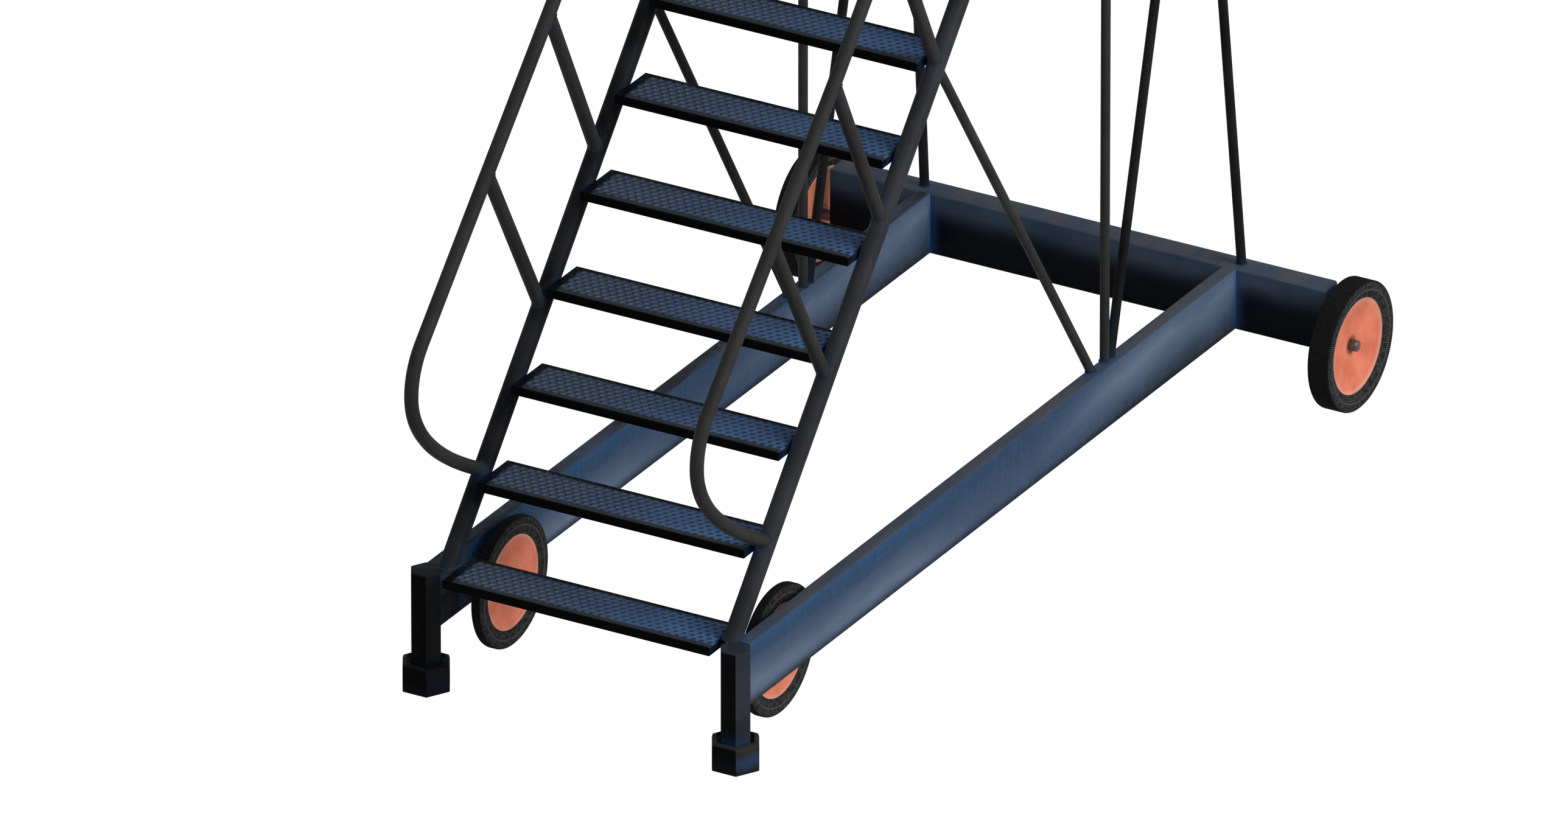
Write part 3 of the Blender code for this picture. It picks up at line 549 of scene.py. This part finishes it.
def finish_node(node, skin):
    """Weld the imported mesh, soften hard edges and shade it smooth, all by modifiers."""
    node.data.materials.clear()
    node.data.materials.append(skin)
    node.data.shade_smooth()
    weld = node.modifiers.new("weld", "WELD")
    weld.merge_threshold = WELD_DISTANCE
    if node.name.startswith(("front_leg", "foot_left", "foot_right")):
        rounding = node.modifiers.new("soft_edges", "BEVEL")
        rounding.width = SOFT_EDGE
        rounding.segments = SOFT_STEPS
        rounding.limit_method = "ANGLE"
        rounding.angle_limit = SOFT_ANGLE
    split = node.modifiers.new("hard_edges", "EDGE_SPLIT")
    split.split_angle = SPLIT_ANGLE
    split.use_edge_sharp = False


def finish_nodes():
    for prefixes, (left, right) in NODE_MATERIALS:
        for name, node in NODES.items():
            if name.startswith(prefixes):
                finish_node(node, left if "_left" in name else right)


# --- Mesh helpers --------------------------------------------------------------------------------

GAP = 0.0003                # between pieces that touch
SAME_PLACE = 0.00001
HAIR = 0.0001               # a point this near to an edge is on it


def add_piece(name, bm, skin, body, replaces=(), location=(0.0, 0.0, 0.0)):
    mesh = bpy.data.meshes.new(name)
    bmesh.ops.recalc_face_normals(bm, faces=bm.faces)
    bm.to_mesh(mesh)
    bm.free()
    mesh.materials.append(skin)
    return place_piece(name, mesh, body, replaces, location)


def place_piece(name, mesh, body, replaces=(), location=(0.0, 0.0, 0.0)):
    piece = bpy.data.objects.new(name, mesh)
    bpy.context.scene.collection.objects.link(piece)
    piece.location = location
    mesh.shade_smooth()
    mesh.set_sharp_from_angle(angle=SPLIT_ANGLE)
    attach(piece, body)
    if replaces:
        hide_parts(*replaces)
    return piece


# --- Dimpled sheets ------------------------------------------------------------------------------

DIMPLE_HEIGHT = 0.0030
SHEET = 0.003
LIP_HEIGHT = 0.028
FOLD_RADIUS = 0.007
FOLD_STEPS = 4
TREAD_STEP = 0.003                      # of the grid that the domes are pressed in
TREAD_MARGINS = (0.006, 0.021, 0.010)   # without domes: at the sides, in front and behind


def dimple_height(x, y):
    """Height of the embossing at a place on the sheet: round domes in staggered rows."""
    u = x * math.cos(DIMPLE_TURN) + y * math.sin(DIMPLE_TURN)
    v = y * math.cos(DIMPLE_TURN) - x * math.sin(DIMPLE_TURN)
    row = round(v / DIMPLE_ROW)
    shift = DIMPLE_PITCH / 2 if row % 2 else 0.0
    column = round((u - shift) / DIMPLE_PITCH)
    distance = math.hypot(u - shift - column * DIMPLE_PITCH, (v - row * DIMPLE_ROW) * DIMPLE_SQUEEZE)
    if distance >= DIMPLE_RADIUS:
        return 0.0
    return DIMPLE_HEIGHT * (1.0 - (distance / DIMPLE_RADIUS) ** 2) ** 1.5


def fold(bm, edges, steps, half):
    """Extrude the open boundary through steps of (outward, height), with mitred corners."""
    half_x, half_y = half
    reach = 0.0
    for outward, height in steps:
        grown = bmesh.ops.extrude_edge_only(bm, edges=edges)["geom"]
        edges = [item for item in grown if isinstance(item, bmesh.types.BMEdge) and item.is_boundary]
        for vert in {vert for edge in edges for vert in edge.verts}:
            on_x = abs(vert.co.x) > half_x + reach - HAIR
            on_y = abs(vert.co.y) > half_y + reach - HAIR
            if on_x:
                vert.co.x = math.copysign(half_x + outward, vert.co.x)
            if on_y:
                vert.co.y = math.copysign(half_y + outward, vert.co.y)
            vert.co.z = height
        reach = outward
    return edges


def dimpled_pan(half_x, half_y, margins, step, lip):
    """A sheet folded down on four sides, dimpled inside its margins (side, front, back)."""
    inner_x, inner_y = half_x - FOLD_RADIUS, half_y - FOLD_RADIUS
    side_margin, front_margin, back_margin = margins
    bm = bmesh.new()
    bmesh.ops.create_grid(bm, x_segments=round(2 * inner_x / step), y_segments=round(2 * inner_y / step),
                          size=0.5)
    bmesh.ops.scale(bm, vec=(2 * inner_x, 2 * inner_y, 1.0), verts=bm.verts)
    for vert in bm.verts:
        x, y, _ = vert.co
        if abs(x) < half_x - side_margin and front_margin - half_y < y < half_y - back_margin:
            vert.co.z = dimple_height(x, y)
    boundary = [edge for edge in bm.edges if edge.is_boundary]
    quarter = [math.pi / 2 * count / FOLD_STEPS for count in range(1, FOLD_STEPS + 1)]
    steps = [(FOLD_RADIUS * math.sin(angle), FOLD_RADIUS * (math.cos(angle) - 1)) for angle in quarter]
    steps += [(FOLD_RADIUS, -lip), (FOLD_RADIUS - SHEET, -lip), (FOLD_RADIUS - SHEET, -SHEET)]
    rim = fold(bm, boundary, steps, (inner_x, inner_y))
    bmesh.ops.edgeloop_fill(bm, edges=rim)
    return bm


def make_treads():
    low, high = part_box("tread_1")
    half = (high - low) / 2
    bm = dimpled_pan(half.x, half.y, TREAD_MARGINS, TREAD_STEP, high.z - low.z)
    mesh = bpy.data.meshes.new("tread_sheet")
    bmesh.ops.recalc_face_normals(bm, faces=bm.faces)
    bm.to_mesh(mesh)
    bm.free()
    mesh.materials.append(TREAD_PAINT)
    for level in range(1, 10):
        low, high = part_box(f"tread_{level}")
        # the sheet lies half a dome's height under the frame's top, and the domes rise past it
        place = Vector(((low.x + high.x) / 2, (low.y + high.y) / 2, high.z - DIMPLE_HEIGHT / 2))
        place_piece(f"tread_sheet_{level}", mesh, "frame", [f"tread_{level}"], place)


# --- Handrails -----------------------------------------------------------------------------------

HANDRAIL_X = 0.479
HANDRAIL_RADIUS = 0.0212
BEND_RADIUS = 0.120
HANDRAIL_FOOT = (0.26071, 0.60402)
LOOP_FRONT = (-0.15089, 1.00938)
LOOP_TOP = (-0.08929, 1.15938)
LOOP_HANDLES = ((0.0643, 0.71045), (-0.15089, 0.8558))      # between the foot and the front
CREST_HANDLES = ((-0.15089, 1.0665), (-0.12916, 1.1185))    # between the front and the top
HANDRAIL_KNEE = (0.66875, 1.93652)
UPPER_SLOPE = 1.104
GUARD_TOP = 3.448
GUARD_REAR_Y = 2.750
LOOP_STEPS = 28
CREST_STEPS = 12
FRONT_BEND_STEPS = 14
REAR_BEND_STEPS = 24
TUBE_RESOLUTION = 6


def flat_bezier(start, handle_a, handle_b, end, steps):
    corners = [Vector((y, z, 0.0)) for y, z in (start, handle_a, handle_b, end)]
    return [(point.x, point.y) for point in interpolate_bezier(*corners, steps + 1)[:-1]]


def rounded_corner(before, corner, after, radius, steps):
    before, corner, after = Vector(before), Vector(corner), Vector(after)
    to_before = (before - corner).normalized()
    to_after = (after - corner).normalized()
    half_angle = to_before.angle(to_after) / 2
    centre = corner + (to_before + to_after).normalized() * (radius / math.sin(half_angle))
    start = corner + to_before * (radius / math.tan(half_angle)) - centre
    end = corner + to_after * (radius / math.tan(half_angle)) - centre
    turn = -start.angle_signed(end)
    points = []
    for count in range(steps + 1):
        cos, sin = math.cos(turn * count / steps), math.sin(turn * count / steps)
        points.append((centre.x + start.x * cos - start.y * sin, centre.y + start.x * sin + start.y * cos))
    return points


def handrail_path():
    top_front = (HANDRAIL_KNEE[0] + (GUARD_TOP - HANDRAIL_KNEE[1]) / UPPER_SLOPE, GUARD_TOP)
    top_rear = (GUARD_REAR_Y, GUARD_TOP)
    foot = (GUARD_REAR_Y, PLATFORM_TOP + GAP)
    path = flat_bezier(HANDRAIL_FOOT, *LOOP_HANDLES, LOOP_FRONT, LOOP_STEPS)
    path += flat_bezier(LOOP_FRONT, *CREST_HANDLES, LOOP_TOP, CREST_STEPS)
    path += [LOOP_TOP, HANDRAIL_KNEE]
    path += rounded_corner(HANDRAIL_KNEE, top_front, top_rear, BEND_RADIUS, FRONT_BEND_STEPS)
    path += rounded_corner(top_front, top_rear, foot, BEND_RADIUS, REAR_BEND_STEPS)
    path += [foot]
    return path


def sweep(points, radius, resolution, closed=False, ripple=0.0):
    """A round tube along points, as a bmesh. Its thickness goes up and down by ripple."""
    curve = bpy.data.curves.new("sweep", "CURVE")
    curve.dimensions = "3D"
    curve.bevel_depth = radius
    curve.bevel_resolution = resolution
    curve.use_fill_caps = not closed
    spline = curve.splines.new("POLY")
    spline.points.add(len(points) - 1)
    for count, (point, place) in enumerate(zip(spline.points, points)):
        point.co = (*place, 1.0)
        point.radius = 1.0 + ripple * (1 if count % 2 else -1)
    spline.use_cyclic_u = closed
    guide = bpy.data.objects.new("sweep", curve)
    bpy.context.scene.collection.objects.link(guide)
    mesh = bpy.data.meshes.new_from_object(guide.evaluated_get(bpy.context.evaluated_depsgraph_get()))
    bpy.data.objects.remove(guide)
    bm = bmesh.new()
    bm.from_mesh(mesh)
    bpy.data.meshes.remove(mesh)
    bmesh.ops.remove_doubles(bm, verts=bm.verts, dist=SAME_PLACE)
    return bm


def make_handrails():
    for word, side in SIDES:
        points = [at(side * HANDRAIL_X, y, z) for y, z in handrail_path()]
        bm = sweep(points, HANDRAIL_RADIUS, TUBE_RESOLUTION)
        add_piece(f"bent_handrail_{word}", bm, TUBE_PAINT, "frame", [f"handrail_{word}"])


# --- Weld beads ----------------------------------------------------------------------------------

STRINGER_RADIUS = 0.0285
STRINGER_POINT = (0.66704, 1.068)       # (Y, Z) on its axis
STRINGER_SLOPE = 0.230 / 0.2025
STANCHION_RADIUS = 0.0208
STANCHION_FEET = (0.5993, 0.9257, 1.2521, 1.5785)
STANCHION_LEANS = ((-0.3086, 0.5583), (-0.2752, 0.5538), (-0.2752, 0.5538), (-0.2752, 0.5538))
STRUT_X = 0.5125
STRUT_RADIUS = 0.0146
FRONT_BRACE_Y = 2.1196
FRONT_BRACE_TOP = 1.2512                # Y where its axis meets the stringer's axis
POST_Y = 2.2013
REAR_BRACE_Y = 2.2341
REAR_BRACE_LEAN = 0.250
REAR_POST_X = 0.5411
REAR_POST_LEAN = (-0.01953, -0.10345)
BEAD_RADIUS = 0.0030
BEAD_STEPS = 40
BEAD_RESOLUTION = 2
BEAD_RIPPLE = 0.20
SEAM_STEP = 0.004           # between the ripples of the long seams
SEAM_OUT = 0.0015           # a seam lies this far outside the deck


def ring_across(direction, radius):
    """Points round a tube of the given direction, from its axis."""
    first = direction.orthogonal().normalized()
    second = direction.cross(first)
    turns = [math.tau * count / BEAD_STEPS for count in range(BEAD_STEPS)]
    return [(first * math.cos(turn) + second * math.sin(turn)) * radius for turn in turns]


def bead_on_tube(foot, direction, radius, host_axis, host_radius):
    """Where a tube that starts on a host tube's axis comes out of the host's skin."""
    direction, host_axis = direction.normalized(), host_axis.normalized()
    slant = direction.dot(host_axis)
    room = 1.0 - slant ** 2
    points = []
    for across in ring_across(direction, radius):
        along = across.dot(host_axis)
        inside = host_radius ** 2 + along ** 2 - radius ** 2
        reach = (along * slant + math.sqrt((along * slant) ** 2 + room * inside)) / room
        points.append(foot + across + direction * reach)
    return points


def bead_on_level(foot, direction, radius):
    """Where a tube that stands on a level face meets it."""
    direction = direction.normalized()
    return [foot + across - direction * (across.z / direction.z)
            for across in ring_across(direction, radius)]


def stringer_place(side, y):
    return at(side * HANDRAIL_X, y, STRINGER_POINT[1] + STRINGER_SLOPE * (y - STRINGER_POINT[0]))


def handrail_crossing(start, lean, slope):
    """Where a stanchion's axis meets the handrail's, from (Y, Z) pairs."""
    reach = ((HANDRAIL_KNEE[1] - start[1] + slope * (start[0] - HANDRAIL_KNEE[0]))
             / (lean[1] - slope * lean[0]))
    return start[0] + reach * lean[0], start[1] + reach * lean[1]


def bead_paths(side):
    stringer_axis = Vector((0.0, 1.0, STRINGER_SLOPE))
    foot_y = STRINGER_POINT[0] + (BEAM_TOP - STRINGER_POINT[1]) / STRINGER_SLOPE
    loop_y, loop_z = (handle - foot for handle, foot in zip(LOOP_HANDLES[0], HANDRAIL_FOOT))
    paths = [bead_on_level(stringer_place(side, foot_y), stringer_axis, STRINGER_RADIUS),
             bead_on_tube(stringer_place(side, HANDRAIL_FOOT[0]), Vector((0.0, loop_y, loop_z)),
                          HANDRAIL_RADIUS, stringer_axis, STRINGER_RADIUS)]
    lower_slope = (HANDRAIL_KNEE[1] - LOOP_TOP[1]) / (HANDRAIL_KNEE[0] - LOOP_TOP[0])
    for number, (y, lean) in enumerate(zip(STANCHION_FEET, STANCHION_LEANS)):
        start = stringer_place(side, y)
        up = Vector((0.0, *lean))
        paths.append(bead_on_tube(start, up, STANCHION_RADIUS, stringer_axis, STRINGER_RADIUS))
        slope = UPPER_SLOPE if number else lower_slope
        end = at(start.x, *handrail_crossing((y, start.z), lean, slope))
        paths.append(bead_on_tube(end, -up, STANCHION_RADIUS, Vector((0.0, 1.0, slope)), HANDRAIL_RADIUS))
    brace_foot = at(side * STRUT_X, FRONT_BRACE_Y, BEAM_TOP)
    brace_top = stringer_place(side, FRONT_BRACE_TOP)
    paths.append(bead_on_tube(brace_top, brace_foot - brace_top, STRUT_RADIUS, stringer_axis,
                              STRINGER_RADIUS))
    rear_post = Vector((side * REAR_POST_X, middle("rear_axle").y, BEAM_TOP))
    for foot, direction in (
            (brace_foot, brace_top - brace_foot),
            (at(side * STRUT_X, POST_Y, BEAM_TOP), Vector((0.0, 0.0, 1.0))),
            (at(side * STRUT_X, REAR_BRACE_Y, BEAM_TOP), Vector((0.0, REAR_BRACE_LEAN, 1.0))),
            (rear_post, Vector((side * REAR_POST_LEAN[0], REAR_POST_LEAN[1], 1.0)))):
        paths.append(bead_on_level(foot, direction, STRUT_RADIUS))
    return paths


def seam_path(side):
    """Along the joint of the deck and its rail, in the hollow over the rail's rounded corner."""
    low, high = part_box("platform_deck")
    steps = round((high.y - low.y) / SEAM_STEP)
    return [Vector((side * (high.x + SEAM_OUT), low.y + (high.y - low.y) * count / steps,
                    PLATFORM_TOP - BEAD_RADIUS)) for count in range(steps + 1)]


def make_weld_beads():
    for word, side in SIDES:
        bm = bmesh.new()
        rings = [(path, True) for path in bead_paths(side)]
        for path, closed in rings + [(seam_path(side), False)]:
            bead = sweep(path, BEAD_RADIUS, BEAD_RESOLUTION, closed, BEAD_RIPPLE)
            mesh = bpy.data.meshes.new("bead")
            bead.to_mesh(mesh)
            bead.free()
            bm.from_mesh(mesh)
            bpy.data.meshes.remove(mesh)
        add_piece(f"weld_beads_{word}", bm, TUBE_PAINT, "frame")


# --- Platform ------------------------------------------------------------------------------------

TOE_CORNER = 0.012
CORNER_STEPS = 6
DECK_STEP = 0.0045
DECK_MARGINS = (0.006, 0.010)   # without domes: at the sides, and in front and behind


def toe_outline(half_x, front, rear, corner):
    """(X, Y) from the front left, round the back, to the front right."""
    points = [(-half_x, front)]
    for centre_x, start in ((corner - half_x, math.pi), (half_x - corner, math.pi / 2)):
        turns = [start - math.pi / 2 * count / CORNER_STEPS for count in range(CORNER_STEPS + 1)]
        points += [(centre_x + corner * math.cos(turn), rear - corner + corner * math.sin(turn))
                   for turn in turns]
    return points + [(half_x, front)]


def make_platform():
    low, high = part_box("platform_deck")
    half_x = (high.x - low.x) / 2
    inner_x = half_x - SHEET
    front, rear = low.y + FOLD_RADIUS, high.y - SHEET
    top = PLATFORM_TOP - DIMPLE_HEIGHT / 2
    side_margin, end_margin = DECK_MARGINS
    # the sheet underfoot
    bm = bmesh.new()
    bmesh.ops.create_grid(bm, x_segments=round(2 * inner_x / DECK_STEP),
                          y_segments=round((rear - front) / DECK_STEP), size=0.5)
    bmesh.ops.scale(bm, vec=(2 * inner_x, rear - front, 1.0), verts=bm.verts)
    for vert in bm.verts:
        x, y, _ = vert.co
        if abs(x) < inner_x - side_margin and abs(y) < (rear - front) / 2 - end_margin:
            vert.co.z = dimple_height(x, y)
    edges = [edge for edge in bm.edges if edge.is_boundary]
    rim = fold(bm, edges, [(0.0, -SHEET)], (inner_x, (rear - front) / 2))
    bmesh.ops.edgeloop_fill(bm, edges=rim)
    add_piece("dimpled_deck", bm, DECK_PAINT, "frame", ["platform_deck"],
              Vector((0.0, (front + rear) / 2, top)))
    # the nose, folded down in front
    quarter = [math.pi / 2 * count / FOLD_STEPS for count in range(FOLD_STEPS + 1)]
    profile = [(-FOLD_RADIUS * math.sin(angle), FOLD_RADIUS * (math.cos(angle) - 1)) for angle in quarter]
    profile += [(-FOLD_RADIUS, -LIP_HEIGHT), (SHEET - FOLD_RADIUS, -LIP_HEIGHT),
                (SHEET - FOLD_RADIUS, -FOLD_RADIUS), (0.0, -SHEET)]
    bm = bmesh.new()
    ends = [[bm.verts.new((x, y, z)) for y, z in profile] for x in (-half_x, half_x)]
    bridge(bm, *ends)
    for end in ends:
        bm.faces.new(end)
    add_piece("deck_nose", bm, DECK_PAINT, "frame", ["platform_deck"],
              Vector((0.0, front, top)))
    # the toe board, folded up at the sides and the back
    outer = toe_outline(half_x, front, high.y, TOE_CORNER)
    inner = toe_outline(inner_x, front, rear, TOE_CORNER - SHEET)
    outline = outer + inner[::-1]
    bm = bmesh.new()
    levels = [[bm.verts.new((x, y, z)) for x, y in outline] for z in (PLATFORM_TOP - SHEET, high.z)]
    bridge(bm, *levels)
    for level in levels:
        for count in range(len(outer) - 1):
            bm.faces.new((level[count], level[count + 1], level[-count - 2], level[-count - 1]))
    add_piece("toe_board", bm, LEG_PAINTS[1], "frame", ["platform_deck"])


# --- Wheels --------------------------------------------------------------------------------------

DISC_STEPS = 112
DISC_RINGS = 16
# Rows of bricks, half the tread's width, and how far the disc's rim and the middles of its faces lie
# from the wheel's middle plane
FRONT_WHEEL = dict(rows=4, half_width=0.0150, disc_edge=0.0120, outer_centre=0.0080, inner_centre=0.0080)
REAR_WHEEL = dict(rows=10, half_width=0.0355, disc_edge=0.0255, outer_centre=0.0015, inner_centre=0.0215)
HUB_BORE = 0.0203
RIM_WIDTH = 0.004
ROLLED_RIM = ((0.0028, 0.0002), (0.0012, 0.0), (0.0, 0.0012))   # (radius, height) short of the corner
FACE_SINK = 0.0004              # of the disc's face under its rim
LIP_HALF = 0.002                # half the width of the proud lip
LIP_DROP = 0.0006               # from its crest to its edges
INNER_WALL = (0.2, 0.4, 0.6, 0.8)       # places of the rings up the sidewall, from disc to lip
OUTER_WALL = (0.15, 0.4, 0.65, 0.9)     # and from lip to tread
INNER_RIB = 0.00025             # height of the fine ribs inside the lip
OUTER_RIB = 0.00035
SHOULDER = ((0.0028, 0.0008), (0.0008, 0.0026))     # (radius, height) short of the tread's corner
BAND_EDGE = 0.004               # between the bricks and the tread's corner
GROOVE_HALF = 0.0010            # half the width of the grooves between bricks


def ring(bm, radius, height, steps):
    return [bm.verts.new((height, radius * math.cos(math.tau * k / steps),
                          radius * math.sin(math.tau * k / steps))) for k in range(steps)]


def bridge(bm, first, second):
    count = len(first)
    return [bm.faces.new((first[k], first[(k + 1) % count], second[(k + 1) % count], second[k]))
            for k in range(count)]


def tyre_side(sizes, sign):
    """(radius, height, rib) points from the disc's edge to the tread's shoulder."""
    edge_radius, disc_edge, lip = sizes["edge_radius"], sizes["disc_edge"], sizes["lip"]
    radius, half_width = sizes["radius"], sizes["half_width"]
    points = [(edge_radius, disc_edge, 0.0)]
    for share in INNER_WALL:
        points.append((edge_radius + (LIP_RADIUS - LIP_HALF - edge_radius) * share,
                       disc_edge + (lip - 0.001 - disc_edge) * share ** 1.3, INNER_RIB))
    points += [(LIP_RADIUS - LIP_HALF, lip - LIP_DROP, 0.0), (LIP_RADIUS, lip, 0.0),
               (LIP_RADIUS + LIP_HALF, lip - LIP_DROP, 0.0)]
    for share in OUTER_WALL:
        points.append((LIP_RADIUS + LIP_HALF + (radius - SHOULDER_DEPTH - LIP_RADIUS) * share,
                       lip - 0.0008 + (half_width - lip + 0.0004) * share, OUTER_RIB))
    points += [(radius - under, half_width - inside, 0.0) for under, inside in SHOULDER]
    return [(r, sign * h, rib) for r, h, rib in points]


def tyre_mesh(sizes):
    """A solid tyre: ribbed sidewalls, a proud lip and a tread of staggered small bricks."""
    radius, rows = sizes["radius"], sizes["rows"]
    bm = bmesh.new()
    sides = []
    for sign in (1, -1):
        rings = []
        for r, h, rib in tyre_side(sizes, sign):
            made = ring(bm, r, h, WHEEL_STEPS)
            for k, vert in enumerate(made):
                vert.co.x += sign * rib * (1 if k % 2 else -1)
            rings.append(made)
        for inner, outer in zip(rings, rings[1:]):
            bridge(bm, inner, outer)
        sides.append(rings)
    bridge(bm, sides[0][0], sides[1][0])
    band = sizes["half_width"] - BAND_EDGE
    band_rings = [ring(bm, radius - GROOVE, band - 2 * band * row / rows, WHEEL_STEPS)
                  for row in range(rows + 1)]
    bridge(bm, sides[0][-1], band_rings[0])
    bridge(bm, band_rings[-1], sides[1][-1])
    bricks = []
    for row, (first, second) in enumerate(zip(band_rings, band_rings[1:])):
        shift = (row % 2) * BRICK_STEPS // 2
        for start in range(shift, WHEEL_STEPS + shift, BRICK_STEPS):
            span = [(start + k) % WHEEL_STEPS for k in range(BRICK_STEPS + 1)]
            bricks.append(bm.faces.new([first[k] for k in span] + [second[k] for k in reversed(span)]))
    bmesh.ops.recalc_face_normals(bm, faces=bm.faces)
    bmesh.ops.inset_individual(bm, faces=bricks, thickness=GROOVE_HALF, depth=0.0)
    for brick in bricks:
        for vert in brick.verts:
            vert.co.y *= radius / (radius - GROOVE)
            vert.co.z *= radius / (radius - GROOVE)
    return bm


def disc_mesh(sizes):
    """A disc dished on both faces, with a rolled rim and a bored hub."""
    edge_radius, disc_edge = sizes["edge_radius"] - GAP, sizes["disc_edge"]
    bm = bmesh.new()
    sides = []
    for sign, centre in ((1, sizes["outer_centre"]), (-1, sizes["inner_centre"])):
        profile = []
        for count in range(DISC_RINGS + 1):
            r = HUB_BORE + (edge_radius - RIM_WIDTH - HUB_BORE) * count / DISC_RINGS
            height = centre + (disc_edge - centre) * (r / edge_radius) ** 2
            profile.append((r, height - FACE_SINK))
        profile += [(edge_radius - under, disc_edge - inside) for under, inside in ROLLED_RIM]
        rings = [ring(bm, r, sign * h, DISC_STEPS) for r, h in profile]
        for first, second in zip(rings, rings[1:]):
            bridge(bm, first, second)
        sides.append(rings)
    bridge(bm, sides[0][0], sides[1][0])
    bridge(bm, sides[0][-1], sides[1][-1])
    return bm


def make_wheels():
    for place, shape in (("front", FRONT_WHEEL), ("rear", REAR_WHEEL)):
        for word, side in SIDES:
            key = f"{place}_{word}"
            low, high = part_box("tyre_" + key)
            disc_low, disc_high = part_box("wheel_disc_" + key)
            sizes = dict(shape, radius=(high.z - low.z) / 2, lip=(high.x - low.x) / 2,
                         edge_radius=(disc_high.z - disc_low.z) / 2 + GAP)
            outwards = Matrix.Rotation(0.0 if side > 0 else math.pi, 4, "Z")   # outer face outwards
            for name, node, bm, skin, slot in (
                    ("ribbed_tyre_", "tyre_", tyre_mesh(sizes), RUBBER, "tyre_rubber"),
                    ("dished_disc_", "wheel_disc_", disc_mesh(sizes), DISC_PLASTIC, "wheel_disc_plastic")):
                bmesh.ops.transform(bm, matrix=outwards, verts=bm.verts)
                add_piece(name + key, bm, skin, "wheel_" + key, [node + key], (low + high) / 2)


# --- Stage ---------------------------------------------------------------------------------------

AMBIENT = 0.46          # light from all round, beside the key light
FLOOR_HALF = 60.0
FLOOR_DROP = 0.0005     # the floor lies this far under the wheels


def glow(tree, kind):
    """White to the camera, dimmer to everything that it lights."""
    path = add_node(tree, "LightPath")
    strength = calculate(tree, "MULTIPLY_ADD", path.outputs["Is Camera Ray"], 1.0 - AMBIENT, AMBIENT)
    return add_node(tree, kind, Color=(1.0, 1.0, 1.0), Strength=strength).outputs[0]


def make_floor():
    """A pale floor lit so evenly that it shows no shadow."""
    bm = bmesh.new()
    bmesh.ops.create_grid(bm, x_segments=1, y_segments=1, size=FLOOR_HALF)
    mesh = bpy.data.meshes.new("floor")
    bm.to_mesh(mesh)
    bm.free()
    made = bpy.data.materials.new("floor")
    made.use_nodes = True
    tree = made.node_tree
    tree.nodes.clear()
    add_node(tree, "OutputMaterial", Surface=glow(tree, "Emission"))
    mesh.materials.append(made)
    floor = bpy.data.objects.new("floor", mesh)
    bpy.context.scene.collection.objects.link(floor)
    floor.location.z = CAD_BOX[0].z - FLOOR_DROP


def make_world():
    world = bpy.data.worlds.new("studio")
    bpy.context.scene.world = world
    world.use_nodes = True
    tree = world.node_tree
    tree.nodes.clear()
    add_node(tree, "OutputWorld", Surface=glow(tree, "Background"))
    bpy.context.scene.view_settings.view_transform = "Standard"


make_camera()
make_world()
make_key_light()
make_floor()
finish_nodes()
make_treads()
make_platform()
make_handrails()
make_weld_beads()
make_wheels()
